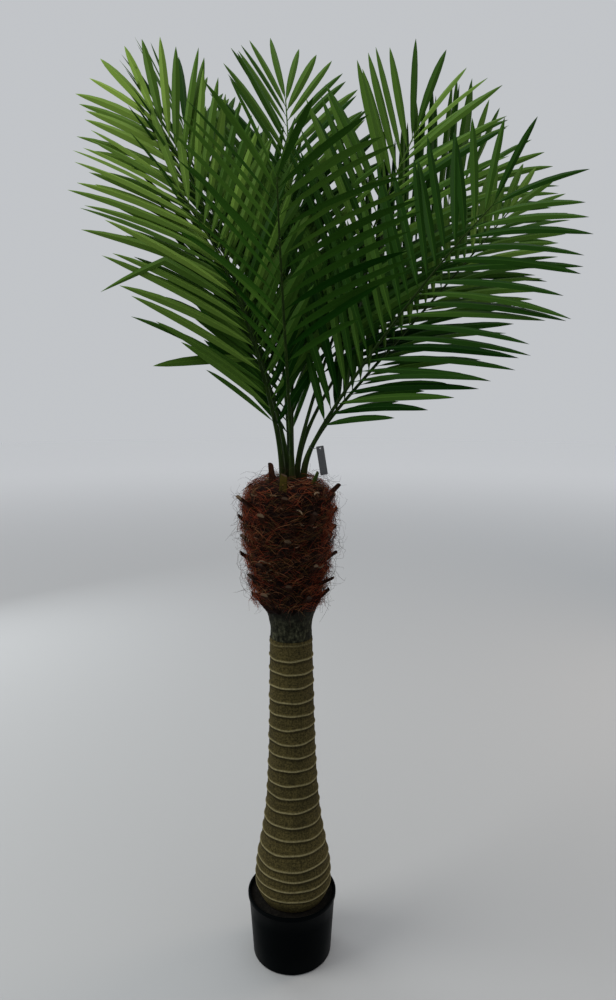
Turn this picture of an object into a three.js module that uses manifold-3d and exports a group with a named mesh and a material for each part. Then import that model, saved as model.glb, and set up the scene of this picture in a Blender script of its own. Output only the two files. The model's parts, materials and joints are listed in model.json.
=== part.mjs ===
// Artificial areca palm: a weighted pot, a ringed trunk, a coir boot and ten fronds.
// Millimetres, +Z up. The origin is the centre of the pot's underside, and the crown's front faces -Y.
import * as THREE from "three";
import { mergeVertices } from "three/addons/utils/BufferGeometryUtils.js";
import Module from "manifold-3d";

const wasm = await Module();
wasm.setup();

// Clearance that neighbouring pieces keep, and how near two corners are to count as one
const GAP = 0.3;
const SAME_CORNER = 0.001;

// Pot, and the cement that weighs it down
const POT_HEIGHT = 134;
const POT_FOOT_RADIUS = 80;
const POT_BODY_RADIUS = 88;
const POT_RIM_RADIUS = 90;
const POT_RIM_BAND = 8;
const POT_WALL = 3;
const POT_FLOOR = 4;
const POT_EDGE = 2;
const POT_LIP = 1;
const POT_SIDES = 40;
const FILL_TOP = 127;

// Trunk: height and radius, from the flat cut on the fill to the neck, and how far its foot is to +X
const TRUNK_OUTLINE = [
  [FILL_TOP + GAP, 64], [145, 72.5], [175, 76], [215, 72], [265, 62.5],
  [330, 53.5], [420, 47.5], [530, 44], [677, 41.5],
];
const TRUNK_LEAN = 3;
const TRUNK_SIDES = 20;
const TRUNK_STEPS = 12;

// Ridges round the trunk: close together on the flare, then evenly spaced
const RING_FIRST = 159;
const RING_CLOSE_COUNT = 3;
const RING_CLOSE_PITCH = 21;
const RING_PITCH = 28;
const RING_COUNT = 19;
const RING_HALF_HEIGHT = 4;
const RING_PROUD = 2.5;

// Bare neck between the ringed trunk and the boot
const NECK_TOP = 736;
const NECK_OUTLINE = [[677, 40], [700, 40], [718, 43], [NECK_TOP, 49]];

// Boot of coir matting, and the cut leaf bases that stand out of it
const BOOT_OUTLINE = [
  [52, NECK_TOP + GAP], [59, 752], [64, 772], [69, 800], [75, 840], [81, 880],
  [83, 915], [81, 945], [75, 966], [62, 980], [36, 990],
];
const BOOT_SHIFT = -4;
const BOOT_TOP = 990;
const BOOT_SIDES = 20;
const STUB_ROWS = 6;
const STUBS_PER_ROW = 6;
const STUB_FIRST_ROW = 747;
const STUB_ROW_PITCH = 37;
const STUB_LENGTH = 40;
const STUB_WIDTH = 21;
const STUB_THICKNESS = 9;
const STUB_TAPER = 0.75;
const STUB_SUNK = 12;
const STUB_TILT = 54;
const STUB_TILT_TOP = 40;

// Cut stalks on the boot's shoulder: angle round the trunk, distance out, height above the top
const SHOULDER_STUBS = [[234, 43, 28], [263, 48, 14], [-28, 54, 14]];
const SHOULDER_STUB_WIDTH = 12;
const SHOULDER_STUB_THICKNESS = 8;
const SHOULDER_STUB_SUNK = 16;

// Fronds. Heading is the way the frond leans, seen from above: 0 is +X and 90 is +Y.
// Sweep is how far the heading turns from foot to tip. Lean and arch are degrees from upright.
// Roll turns the blade about its rib, fold lifts its leaflets towards its face, and spread is their
// widest angle from the rib. Longest and width are their greatest size, and bare is the share of the rib
// below them. Seat and ring say where its foot is, round a centre that lies CROWN_SHIFT to +X.
const CROWN_SHIFT = 4;
const INNER_SEAT = 9;
const OUTER_SEAT = 23;
const FRONDS = [
  { name: "frond_front", heading: 261, sweep: 10, lean: 20, arch: 38, roll: -16, fold: 21,
    spread: 56, length: 542, longest: 245, width: 13, bare: 0.40, seat: 270, ring: OUTER_SEAT },
  { name: "frond_right", heading: -14, sweep: 7, lean: 34, arch: 10, roll: 69, fold: 5,
    spread: 53, length: 576, longest: 256, width: 15, bare: 0.185, seat: -20, ring: OUTER_SEAT },
  { name: "frond_upper_right", heading: 36, sweep: -4, lean: 22, arch: 8, roll: 47, fold: 19,
    spread: 44, length: 716, longest: 300, width: 17, bare: 0.28, seat: 10, ring: INNER_SEAT },
  { name: "frond_top", heading: 86, sweep: 13, lean: 14, arch: 12, roll: 9, fold: 25,
    spread: 48, length: 776, longest: 246, width: 17, bare: 0.25, seat: 105, ring: INNER_SEAT },
  { name: "frond_upper_left", heading: 173, sweep: -14, lean: 16, arch: 19, roll: -64, fold: 24,
    spread: 43, length: 704, longest: 236, width: 17, bare: 0.20, seat: 195, ring: INNER_SEAT },
  { name: "frond_left", heading: 179, sweep: -11, lean: 12, arch: 26, roll: -48, fold: 12,
    spread: 51, length: 546, longest: 298, width: 17, bare: 0.18, seat: 215, ring: OUTER_SEAT },
  { name: "frond_right_back", heading: 15, sweep: 10, lean: 44, arch: 0, roll: 48, fold: 9,
    spread: 42, length: 671, longest: 213, width: 17, bare: 0.20, seat: 28, ring: OUTER_SEAT },
  { name: "frond_back_left", heading: 128, sweep: 12, lean: 25, arch: 0, roll: 3, fold: 22,
    spread: 47, length: 741, longest: 300, width: 17, bare: 0.27, seat: 142, ring: OUTER_SEAT },
  { name: "frond_back_right", heading: 48, sweep: -14, lean: 42, arch: 0, roll: 64, fold: 34,
    spread: 50, length: 802, longest: 300, width: 17, bare: 0.30, seat: 68, ring: OUTER_SEAT },
  { name: "frond_back", heading: 98, sweep: 15, lean: 26, arch: -6, roll: -22, fold: 34,
    spread: 41, length: 581, longest: 300, width: 17, bare: 0.13, seat: 104, ring: OUTER_SEAT },
];
const FROND_BEND = 0.08;
const RIB_STEPS = 96;
const RIB_RINGS = 12;
const RIB_RING_POWER = 1.5;
const RIB_SIDES = 4;
const RIB_BASE_RADIUS = 6;
const RIB_FOOT_RADIUS = 3.4;
const RIB_TIP_RADIUS = 1.2;
const RIB_FOOT_SHARE = 0.14;

// Leaflets: their spacing along the rib, how spread and length change along it, and the blade
const LEAFLET_SPACING = 24;
const LEAFLET_STAGGER = 0.006;
const SPREAD_WIDEST_AT = 0.4;
const SPREAD_LOSS = 40;
const SPREAD_TIP_DROP = 18;
const SPREAD_TIP_FROM = 0.85;
const SPREAD_TIP_POWER = 2;
const SPREAD_JITTER = 3;
const FOLD_JITTER = 6;
const LENGTH_FOOT_LOSS = 0.38;
const LENGTH_FOOT_FADE = 0.08;
const LENGTH_TIP_LOSS = 0.36;
const LENGTH_TIP_FROM = 0.5;
const LENGTH_TIP_POWER = 1.5;
const LENGTH_JITTER = 0.06;
const LEAFLET_DROOP = 0.16;
const LEAFLET_BELLY = 0.45;
const LEAFLET_THICKNESS = 2.6;
const LEAFLET_ROOT_SHARE = 0.5;
const LEAFLET_TWIST = 18;
const LEAFLET_MARGIN = 0.4;
const LEAFLET_CLEAR_FROM = 0.15;

// What a leaflet that would touch another one tries, in order: degrees of fold, share of its length
const FOLD_TRIES = [0, 7, -7, 14, -14, 21, -21, 28, -28];
const LENGTH_TRIES = [1, 0.8, 0.6];

// Blank tag that hangs from the right-hand stalk, and where its top is, seen from the stalk
const TAG_WIDTH = 14;
const TAG_HEIGHT = 54;
const TAG_THICKNESS = 1;
const TAG_TURN = -9;
const TAG_STALK_SHARE = 0.1;
const TAG_HANG = new THREE.Vector3(15, -6, 3);
const TAG_HOLE_DROP = 4;
const TAG_LOOP_CLEARANCE = 1.2;
const TAG_WIRE = 0.7;
const TAG_WIRE_SIDES = 4;
const TAG_LOOP_STEPS = 10;

const UP = new THREE.Vector3(0, 0, 1);
const radians = THREE.MathUtils.degToRad;

// A repeatable value from -1 to 1 for a leaflet, from its place on the plant
function scatter(a, b, c) {
  const value = Math.sin(a * 12.9898 + b * 78.233 + c * 37.719) * 43758.5453;
  return 2 * (value - Math.floor(value)) - 1;
}

// Positions only, shared corners merged, no flat triangles, faces pointing out
function closed(geometry) {
  const bare = geometry.clone();
  bare.deleteAttribute("normal");
  bare.deleteAttribute("uv");
  const merged = mergeVertices(bare, SAME_CORNER);
  const points = merged.attributes.position;
  const kept = [];
  const corner = [new THREE.Vector3(), new THREE.Vector3(), new THREE.Vector3()];
  let volume = 0;
  for (let i = 0; i < merged.index.count; i += 3) {
    const [a, b, c] = [0, 1, 2].map((k) => merged.index.getX(i + k));
    if (a === b || b === c || c === a) continue;
    [a, b, c].forEach((k, n) => corner[n].fromBufferAttribute(points, k));
    volume += corner[0].dot(corner[1].clone().cross(corner[2]));
    kept.push(a, b, c);
  }
  if (volume < 0) kept.reverse();
  merged.setIndex(kept);
  return merged;
}

function toSolid(geometry) {
  const shape = closed(geometry);
  const vertProperties = new Float32Array(shape.attributes.position.array);
  const triVerts = new Uint32Array(shape.index.array);
  return new wasm.Manifold(new wasm.Mesh({ numProp: 3, vertProperties, triVerts }));
}

function toGeometry(solid) {
  const mesh = solid.getMesh();
  const geometry = new THREE.BufferGeometry();
  geometry.setAttribute("position", new THREE.BufferAttribute(new Float32Array(mesh.vertProperties), 3));
  geometry.setIndex(new THREE.BufferAttribute(new Uint32Array(mesh.triVerts), 1));
  return geometry;
}

// A round body from radius and height pairs, turned so that its axis is +Z
function lathe(outline, sides) {
  const points = outline.map(([radius, height]) => new THREE.Vector2(radius, height));
  return new THREE.LatheGeometry(points, sides).rotateX(Math.PI / 2);
}

// A closed skin over rings of points, all with the same count. A ring of one point is a tip.
function skin(rings) {
  const geometry = new THREE.BufferGeometry();
  const points = rings.flat();
  geometry.setFromPoints(points);
  const index = [];
  let start = 0;
  for (let r = 0; r + 1 < rings.length; r += 1) {
    const count = rings[r].length;
    const next = start + count;
    for (let k = 0; k < count; k += 1) {
      const l = (k + 1) % count;
      if (rings[r + 1].length === 1) index.push(start + k, start + l, next);
      else index.push(start + k, start + l, next + l, start + k, next + l, next + k);
    }
    start = next;
  }
  for (let k = 1; k + 1 < rings[0].length; k += 1) index.push(0, k + 1, k);
  const last = rings[rings.length - 1].length;
  for (let k = 1; k + 1 < last; k += 1) index.push(start, start + k, start + k + 1);
  geometry.setIndex(index);
  return geometry;
}

const palm = new THREE.Group();

function addPiece(name, geometry, material) {
  const shape = closed(geometry);
  shape.computeVertexNormals();
  const mesh = new THREE.Mesh(shape, material);
  mesh.name = name;
  palm.add(mesh);
}

const finish = (color, roughness) => new THREE.MeshStandardMaterial({ color, roughness, metalness: 0 });
const blackPlastic = finish(0x101112, 0.4);
const darkCement = finish(0x26221d, 0.95);
const burlap = finish(0x6b6045, 0.95);
const neckBark = finish(0x3b3c34, 0.9);
const coir = finish(0x4a2216, 0.95);
const leafGreen = finish(0x2f5a22, 0.5);
const greyCard = finish(0x5c5f61, 0.7);

// Pot: a tapered cup with a banded rim, open at the top
const bandFoot = POT_HEIGHT - POT_RIM_BAND;
const potInside = (height) => {
  const share = height / bandFoot;
  return POT_FOOT_RADIUS + (POT_BODY_RADIUS - POT_FOOT_RADIUS) * share - POT_WALL;
};
addPiece("pot", lathe([
  [0, 0],
  [POT_FOOT_RADIUS - POT_EDGE, 0],
  [POT_FOOT_RADIUS, POT_EDGE],
  [POT_BODY_RADIUS, bandFoot - POT_LIP],
  [POT_RIM_RADIUS, bandFoot],
  [POT_RIM_RADIUS, POT_HEIGHT - POT_LIP],
  [POT_RIM_RADIUS - POT_LIP, POT_HEIGHT],
  [potInside(POT_HEIGHT), POT_HEIGHT],
  [potInside(POT_FLOOR), POT_FLOOR],
  [0, POT_FLOOR],
], POT_SIDES), blackPlastic);

// Fill: cement inside the pot, with a flat top for the trunk
const fillFoot = POT_FLOOR + GAP;
addPiece("pot_fill", lathe([
  [0, fillFoot],
  [potInside(fillFoot) - GAP, fillFoot],
  [potInside(FILL_TOP) - GAP, FILL_TOP],
  [0, FILL_TOP],
], POT_SIDES), darkCement);

// Trunk: a smooth flared outline with a ridge at each ring, sheared so that both cuts stay level
const trunkCurve = new THREE.SplineCurve(TRUNK_OUTLINE.map(([z, r]) => new THREE.Vector2(z, r)));
const trunkSamples = trunkCurve.getPoints(TRUNK_OUTLINE.length * TRUNK_STEPS);

function trunkRadius(height) {
  const after = Math.max(1, trunkSamples.findIndex((p) => p.x >= height));
  const low = trunkSamples[after - 1];
  const high = trunkSamples[after];
  return THREE.MathUtils.mapLinear(height, low.x, high.x, low.y, high.y);
}

function ringHeight(i) {
  const close = Math.min(i, RING_CLOSE_COUNT);
  return RING_FIRST + close * RING_CLOSE_PITCH + (i - close) * RING_PITCH;
}

const trunkFoot = FILL_TOP + GAP;
const trunkTop = NECK_OUTLINE[0][0] - GAP;
const trunkOutline = [[0, trunkFoot], [trunkRadius(trunkFoot), trunkFoot]];
for (let i = 0; i < RING_COUNT; i += 1) {
  const height = ringHeight(i);
  for (const [step, proud] of [[-RING_HALF_HEIGHT, 0], [0, RING_PROUD], [RING_HALF_HEIGHT, 0]]) {
    trunkOutline.push([trunkRadius(height + step) + proud, height + step]);
  }
}
trunkOutline.push([trunkRadius(trunkTop), trunkTop], [0, trunkTop]);
const lean = -TRUNK_LEAN / (trunkTop - trunkFoot);
const leaning = new THREE.Matrix4().set(
  1, 0, lean, -lean * trunkTop,
  0, 1, 0, 0,
  0, 0, 1, 0,
  0, 0, 0, 1,
);
addPiece("trunk", lathe(trunkOutline, TRUNK_SIDES).applyMatrix4(leaning), burlap);

// Neck: a short bare length that widens under the boot
const neckFoot = NECK_OUTLINE[0][0];
const neckSide = NECK_OUTLINE.map(([z, r]) => [r, z]);
addPiece("trunk_neck", lathe([[0, neckFoot], ...neckSide, [0, NECK_TOP]], TRUNK_SIDES), neckBark);

// Boot: a rounded body with rows of cut leaf bases fused into it
function bootRadius(height) {
  const after = Math.max(1, BOOT_OUTLINE.findIndex(([, z]) => z >= height));
  const [lowRadius, lowHeight] = BOOT_OUTLINE[after - 1];
  const [highRadius, highHeight] = BOOT_OUTLINE[after];
  return THREE.MathUtils.mapLinear(height, lowHeight, highHeight, lowRadius, highRadius);
}

// A tapered block on its foot at the origin, thin along X, wide along Y, rising along +Z
function leafBase(length, width, thickness) {
  const block = new THREE.BoxGeometry(thickness, width, length).translate(0, 0, length / 2);
  const points = block.attributes.position;
  for (let i = 0; i < points.count; i += 1) {
    if (points.getZ(i) < length / 2) continue;
    points.setX(i, points.getX(i) * STUB_TAPER);
    points.setY(i, points.getY(i) * STUB_TAPER);
  }
  return block;
}

let boot = toSolid(lathe([[0, NECK_TOP + GAP], ...BOOT_OUTLINE, [0, BOOT_TOP]], BOOT_SIDES));
for (let row = 0; row < STUB_ROWS; row += 1) {
  const height = STUB_FIRST_ROW + row * STUB_ROW_PITCH;
  const tilt = THREE.MathUtils.lerp(STUB_TILT, STUB_TILT_TOP, row / (STUB_ROWS - 1));
  for (let i = 0; i < STUBS_PER_ROW; i += 1) {
    const angle = ((i + (row % 2) / 2) / STUBS_PER_ROW) * 2 * Math.PI;
    const stub = leafBase(STUB_LENGTH, STUB_WIDTH, STUB_THICKNESS)
      .rotateY(radians(tilt))
      .translate(bootRadius(height) - STUB_SUNK, 0, height)
      .rotateZ(angle);
    boot = boot.add(toSolid(stub));
  }
}
for (const [angle, out, rise] of SHOULDER_STUBS) {
  const stub = leafBase(rise + SHOULDER_STUB_SUNK, SHOULDER_STUB_WIDTH, SHOULDER_STUB_THICKNESS)
    .translate(out, 0, BOOT_TOP - SHOULDER_STUB_SUNK)
    .rotateZ(radians(angle));
  boot = boot.add(toSolid(stub));
}
addPiece("fibre_boot", toGeometry(boot).translate(BOOT_SHIFT, 0, 0), coir);

// Rib of a frond: upright where it leaves the boot, then leaning over and arching.
// It is followed in short steps, and kept at rings that lie closer together near its foot.
function ribOf(frond) {
  const frames = [];
  const seat = radians(frond.seat);
  const point = new THREE.Vector3(
    CROWN_SHIFT + frond.ring * Math.cos(seat), frond.ring * Math.sin(seat), BOOT_TOP + GAP);
  const step = frond.length / RIB_STEPS;
  let before = null;
  for (let i = 0; i <= RIB_STEPS; i += 1) {
    const share = i / RIB_STEPS;
    const heading = radians(frond.heading + frond.sweep * share);
    const lean = radians(
      frond.lean * (1 - Math.exp(-share / FROND_BEND)) + frond.arch * share * share);
    const along = new THREE.Vector3(
      Math.sin(lean) * Math.cos(heading), Math.sin(lean) * Math.sin(heading), Math.cos(lean));
    if (before) point.addScaledVector(before.add(along), step / 2);
    before = along.clone();
    const ringShare = (frames.length / RIB_RINGS) ** RIB_RING_POWER;
    if (i < Math.round(ringShare * RIB_STEPS)) continue;
    const across = new THREE.Vector3(-Math.sin(heading), Math.cos(heading), 0);
    const side = across.applyAxisAngle(along, radians(frond.roll));
    frames.push({ share, point: point.clone(), along, side, face: along.clone().cross(side) });
  }
  return frames;
}

function frameAt(frames, share) {
  const high = Math.max(1, frames.findIndex((frame) => frame.share >= Math.min(share, 1)));
  const [low, next] = [frames[high - 1], frames[high]];
  const blend = (Math.min(share, 1) - low.share) / (next.share - low.share);
  const mix = (key) => low[key].clone().lerp(next[key], blend);
  return { point: mix("point"), along: mix("along"), side: mix("side"), face: mix("face") };
}

function ribRadius(share) {
  if (share < RIB_FOOT_SHARE) {
    return THREE.MathUtils.lerp(RIB_BASE_RADIUS, RIB_FOOT_RADIUS, share / RIB_FOOT_SHARE);
  }
  const rest = (share - RIB_FOOT_SHARE) / (1 - RIB_FOOT_SHARE);
  return THREE.MathUtils.lerp(RIB_FOOT_RADIUS, RIB_TIP_RADIUS, rest);
}

function ribGeometry(frames) {
  return skin(frames.map(({ share, point, side, face }) => {
    const ring = [];
    for (let k = 0; k < RIB_SIDES; k += 1) {
      const turn = ((k + 0.5) / RIB_SIDES) * 2 * Math.PI;
      ring.push(point.clone()
        .addScaledVector(side, ribRadius(share) * Math.cos(turn))
        .addScaledVector(face, ribRadius(share) * Math.sin(turn)));
    }
    return ring;
  }));
}

const pairsOn = (frond) => Math.round((frond.length * (1 - frond.bare)) / LEAFLET_SPACING) + 1;

// One leaflet's line: where it starts, which way it goes, how long it is and how far it sags
function leafletLine(frond, frames, order, pair, hand, foldTry, lengthTry) {
  const t = pair / (pairsOn(frond) - 1);
  const share = frond.bare + (1 - frond.bare) * t + hand * LEAFLET_STAGGER;
  const { point, along, side, face } = frameAt(frames, share);
  const nearTip = Math.max(0, (t - SPREAD_TIP_FROM) / (1 - SPREAD_TIP_FROM));
  const spread = radians(frond.spread - SPREAD_LOSS * (t - SPREAD_WIDEST_AT) ** 2
    - SPREAD_TIP_DROP * nearTip ** SPREAD_TIP_POWER
    + SPREAD_JITTER * scatter(pair, hand, 10 * order + 1));
  const fold = radians(frond.fold + FOLD_JITTER * scatter(pair, hand, 10 * order + 3) + foldTry);
  const last = Math.max(0, (t - LENGTH_TIP_FROM) / (1 - LENGTH_TIP_FROM));
  const length = lengthTry * frond.longest
    * (1 - LENGTH_FOOT_LOSS * Math.exp(-t / LENGTH_FOOT_FADE))
    * (1 - LENGTH_TIP_LOSS * last ** LENGTH_TIP_POWER)
    * (1 + LENGTH_JITTER * scatter(pair, hand, 10 * order + 2));
  const go = along.clone().multiplyScalar(Math.cos(spread))
    .addScaledVector(side, Math.sin(spread) * Math.cos(fold) * hand)
    .addScaledVector(face, Math.sin(spread) * Math.sin(fold))
    .normalize();
  const sag = LEAFLET_DROOP * Math.hypot(go.x, go.y);
  const root = LEAFLET_ROOT_SHARE * ribRadius(Math.min(share, 1));
  return { point, go, face, length, sag, hand, root, belly: frond.width / 2 };
}

// A leaflet's solid: a three-sided blade from its root, through its widest place, to its tip
function leafletGeometry(line, from, margin) {
  const { point, go, face, length, sag, hand, root, belly } = line;
  const place = (w) => point.clone()
    .addScaledVector(go, length * w)
    .addScaledVector(UP, -length * sag * w * w);
  const across = go.clone().cross(face).normalize().applyAxisAngle(go, radians(LEAFLET_TWIST * hand));
  const ridge = across.clone().cross(go).normalize();
  const section = (w, half, thick) => {
    const centre = place(w).addScaledVector(ridge, -thick / 3);
    return [
      centre.clone().addScaledVector(across, -half - margin).addScaledVector(ridge, -margin),
      centre.clone().addScaledVector(across, half + margin).addScaledVector(ridge, -margin),
      centre.clone().addScaledVector(ridge, thick + margin),
    ];
  };
  const half = THREE.MathUtils.mapLinear(from, 0, LEAFLET_BELLY, root, belly);
  const thick = THREE.MathUtils.mapLinear(from, 0, LEAFLET_BELLY, root, LEAFLET_THICKNESS);
  return skin([
    section(from, half, thick),
    section(LEAFLET_BELLY, belly, LEAFLET_THICKNESS),
    [place(1).addScaledVector(go, margin)],
  ]);
}

// Fronds: all ribs first, then leaflets that keep clear of every rib and leaflet before them.
// Leaflets of one frond may meet at their roots, so among themselves only their outer part counts.
const ribs = FRONDS.map((frond) => ribOf(frond));
function boxed(geometry) {
  const solid = toSolid(geometry);
  const { min, max } = solid.boundingBox();
  return { solid, box: new THREE.Box3(new THREE.Vector3(...min), new THREE.Vector3(...max)) };
}
const meets = (a, b) => a.box.intersectsBox(b.box) && !a.solid.intersect(b.solid).isEmpty();
const taken = ribs.map((frames, order) => ({ order, whole: boxed(ribGeometry(frames)), outer: null }));

function isClear(line, order) {
  const whole = boxed(leafletGeometry(line, 0, LEAFLET_MARGIN));
  const outer = boxed(leafletGeometry(line, LEAFLET_CLEAR_FROM, LEAFLET_MARGIN));
  return !taken.some((other) => {
    if (other.order !== order) return meets(whole, other.whole);
    return other.outer !== null && meets(outer, other.outer);
  });
}

const tries = LENGTH_TRIES.flatMap((size) => FOLD_TRIES.map((fold) => [fold, size]));
FRONDS.forEach((frond, order) => {
  let blade = taken[order].whole.solid;
  for (let pair = 0; pair < pairsOn(frond); pair += 1) {
    for (const hand of [-1, 1]) {
      const lines = tries.map((trial) => leafletLine(frond, ribs[order], order, pair, hand, ...trial));
      const line = lines.find((trial) => isClear(trial, order));
      if (!line) continue;
      const whole = boxed(leafletGeometry(line, 0, 0));
      taken.push({ order, whole, outer: boxed(leafletGeometry(line, LEAFLET_CLEAR_FROM, 0)) });
      blade = blade.add(whole.solid);
    }
  }
  addPiece(frond.name, toGeometry(blade), leafGreen);
});

// Tag: a blank card on a wire loop round the right-hand stalk
const tagStalk = FRONDS.findIndex((frond) => frond.name === "frond_right");
const tagFrame = frameAt(ribs[tagStalk], TAG_STALK_SHARE);
const loopRadius = ribRadius(TAG_STALK_SHARE) + TAG_LOOP_CLEARANCE + TAG_WIRE;
const loopTurn = new THREE.Quaternion().setFromUnitVectors(UP, tagFrame.along.clone().normalize());
const loop = new THREE.TorusGeometry(loopRadius, TAG_WIRE, TAG_WIRE_SIDES, TAG_LOOP_STEPS)
  .applyQuaternion(loopTurn)
  .translate(...tagFrame.point);
const cardTop = tagFrame.point.clone().add(TAG_HANG);
const wireStart = tagFrame.point.clone()
  .addScaledVector(TAG_HANG.clone().projectOnPlane(tagFrame.along).normalize(), loopRadius);
const wireEnd = cardTop.clone().add(new THREE.Vector3(0, 0, -TAG_HOLE_DROP));
const wireLine = wireEnd.clone().sub(wireStart);
const wire = new THREE.CylinderGeometry(TAG_WIRE, TAG_WIRE, wireLine.length() + TAG_WIRE, TAG_WIRE_SIDES)
  .applyQuaternion(new THREE.Quaternion().setFromUnitVectors(
    new THREE.Vector3(0, 1, 0), wireLine.clone().normalize()))
  .translate(...wireStart.clone().lerp(wireEnd, 0.5));
const card = new THREE.BoxGeometry(TAG_WIDTH, TAG_THICKNESS, TAG_HEIGHT)
  .translate(0, 0, -TAG_HEIGHT / 2)
  .rotateY(radians(TAG_TURN))
  .translate(...cardTop);
addPiece("hang_tag", toGeometry(toSolid(card).add(toSolid(wire)).add(toSolid(loop))), greyCard);

export default palm;
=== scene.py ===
# %% [markdown]
# # An artificial areca palm, from the pot to the frond tips
#
# The real plant is put together like furniture: a pot filled with cement, a trunk wrapped in woven
# cloth, a boot of coir matting with cut leaf bases, and ten plastic fronds pushed into its top.
# This lesson dresses the packed solids in that order. The solids stay as the frame: every piece that
# is made here stands where its solid stands, and hides the solid it stands for.

# %% Load the packed model
import json
import math

import bpy
import numpy as np
from mathutils import Matrix, Vector, noise

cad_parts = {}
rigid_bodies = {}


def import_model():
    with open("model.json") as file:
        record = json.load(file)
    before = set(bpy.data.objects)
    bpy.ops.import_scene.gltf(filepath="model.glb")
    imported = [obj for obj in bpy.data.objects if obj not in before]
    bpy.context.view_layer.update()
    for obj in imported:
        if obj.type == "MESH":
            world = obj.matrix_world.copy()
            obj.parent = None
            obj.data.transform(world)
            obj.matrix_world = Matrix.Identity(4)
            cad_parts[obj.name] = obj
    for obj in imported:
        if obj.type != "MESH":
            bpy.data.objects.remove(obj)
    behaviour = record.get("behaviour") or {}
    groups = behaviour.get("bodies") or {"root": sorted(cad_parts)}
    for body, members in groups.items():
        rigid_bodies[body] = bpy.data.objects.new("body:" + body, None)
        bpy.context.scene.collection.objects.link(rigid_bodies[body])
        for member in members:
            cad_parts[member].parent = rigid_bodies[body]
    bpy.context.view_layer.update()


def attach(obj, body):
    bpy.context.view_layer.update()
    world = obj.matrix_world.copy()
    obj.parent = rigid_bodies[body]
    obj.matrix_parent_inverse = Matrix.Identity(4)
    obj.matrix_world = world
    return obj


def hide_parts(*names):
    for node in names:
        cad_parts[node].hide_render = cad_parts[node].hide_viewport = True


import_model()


# %% [markdown]
# ## Camera
#
# The photograph's perspective was worked out from the rings of the trunk and the ellipses of the pot,
# which gave a focal length in pixels. Blender measures its sensor along the longer side of the image,
# so the lens is that length over the image's height, times the sensor's width.

# %% The camera at the photograph's place
PHOTO_SIZE = (616, 1000)
FOCAL_PIXELS = 720
CAMERA_PLACE = (0.033, -1.34, 1.1635)
CAMERA_PITCH = 9.25
SENSOR_WIDTH = 36


def new_object(name, data):
    made = bpy.data.objects.new(name, data)
    bpy.context.scene.collection.objects.link(made)
    return made


eye = bpy.data.cameras.new("view")
eye.sensor_width = SENSOR_WIDTH
eye.lens = FOCAL_PIXELS / max(PHOTO_SIZE) * SENSOR_WIDTH
camera = new_object("view", eye)
camera.location = CAMERA_PLACE
camera.rotation_euler = (math.radians(90 - CAMERA_PITCH), 0, 0)
bpy.context.scene.camera = camera
print("lens in millimetres:", round(eye.lens, 2))

# %% [markdown]
# ## Sums on sockets
#
# Node trees are easier to read as sums than as boxes and lines. The class below wraps one socket.
# Adding or multiplying two wrapped sockets puts a Math node into their tree, and any other node comes
# from one method, which takes the node's type, its settings and the values of its sockets. It serves
# materials and Geometry Nodes alike.

# %% A socket that can be used in sums
class Wire:
    def __init__(self, tree, socket=None):
        self.tree = tree
        self.socket = socket

    def node(self, kind, settings=None, sockets=None, out=0):
        made = self.tree.nodes.new(kind)
        for name, value in (settings or {}).items():
            if name == "stops":
                self.lay_stops(made.color_ramp, value)
            else:
                setattr(made, name, value)
        for key, value in (sockets or {}).items():
            if isinstance(value, Wire):
                self.tree.links.new(value.socket, made.inputs[key])
            else:
                made.inputs[key].default_value = value
        return Wire(self.tree, made.outputs[out])

    @staticmethod
    def lay_stops(ramp, stops):
        while len(ramp.elements) < len(stops):
            ramp.elements.new(1.0)
        for element, (place, colour) in zip(ramp.elements, stops):
            element.position = place
            element.color = colour

    def math(self, operation, *values):
        return self.node("ShaderNodeMath", {"operation": operation}, dict(enumerate(values)))

    def __add__(self, other):
        return self.math("ADD", self, other)

    def __radd__(self, other):
        return self.math("ADD", other, self)

    def __sub__(self, other):
        return self.math("SUBTRACT", self, other)

    def __rsub__(self, other):
        return self.math("SUBTRACT", other, self)

    def __mul__(self, other):
        return self.math("MULTIPLY", self, other)

    def __rmul__(self, other):
        return self.math("MULTIPLY", other, self)

    def sine(self):
        return self.math("SINE", self)

    def between(self, low, high):
        return self.node("ShaderNodeMapRange", {"interpolation_type": "SMOOTHSTEP"},
                         {"Value": self, "From Min": low, "From Max": high})


print("a wire knows:", [name for name in vars(Wire) if callable(getattr(Wire, name))])

# %% [markdown]
# ## Finishes
#
# A finish here is one Principled shader. Numbers that are the same all over are set on its own
# sockets. A pattern is built from Object coordinates, which stay with the piece, and feeds colour,
# roughness or the normal. Colours are written as they would be picked on a screen and turned into the
# linear values that shaders work with.

# %% Colours, and a function that makes a finish
def tint(red, green, blue):
    def linear(value):
        share = value / 255
        return share / 12.92 if share <= 0.04045 else ((share + 0.055) / 1.055) ** 2.4
    return (linear(red), linear(green), linear(blue), 1.0)


def new_finish(name):
    material = bpy.data.materials.new(name)
    material.use_nodes = True
    return material, Wire(material.node_tree)


def feed(material, sockets):
    tree = material.node_tree
    shader = tree.nodes["Principled BSDF"]
    for name, value in sockets.items():
        if isinstance(value, Wire):
            tree.links.new(value.socket, shader.inputs[name])
        else:
            shader.inputs[name].default_value = value
    return material


def coat(material, sockets):
    feed(material, sockets)
    print("finish", material.name, "has", len(material.node_tree.nodes), "nodes")


def plain_finish(name, colour, roughness, **extra):
    material, _ = new_finish(name)
    sockets = {"Base Color": colour, "Roughness": roughness}
    sockets.update({key.replace("_", " "): value for key, value in extra.items()})
    return feed(material, sockets)


print("a mid grey is", round(tint(128, 128, 128)[0], 3), "in linear light")

# %% Patterns that a finish can be built from
def object_place(start, stretch=(1, 1, 1)):
    place = start.node("ShaderNodeTexCoord", out="Object")
    return start.node("ShaderNodeMapping", None, {"Vector": place, "Scale": stretch})


def axis_of(place, axis):
    return place.node("ShaderNodeSeparateXYZ", None, {"Vector": place}, out=axis)


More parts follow.
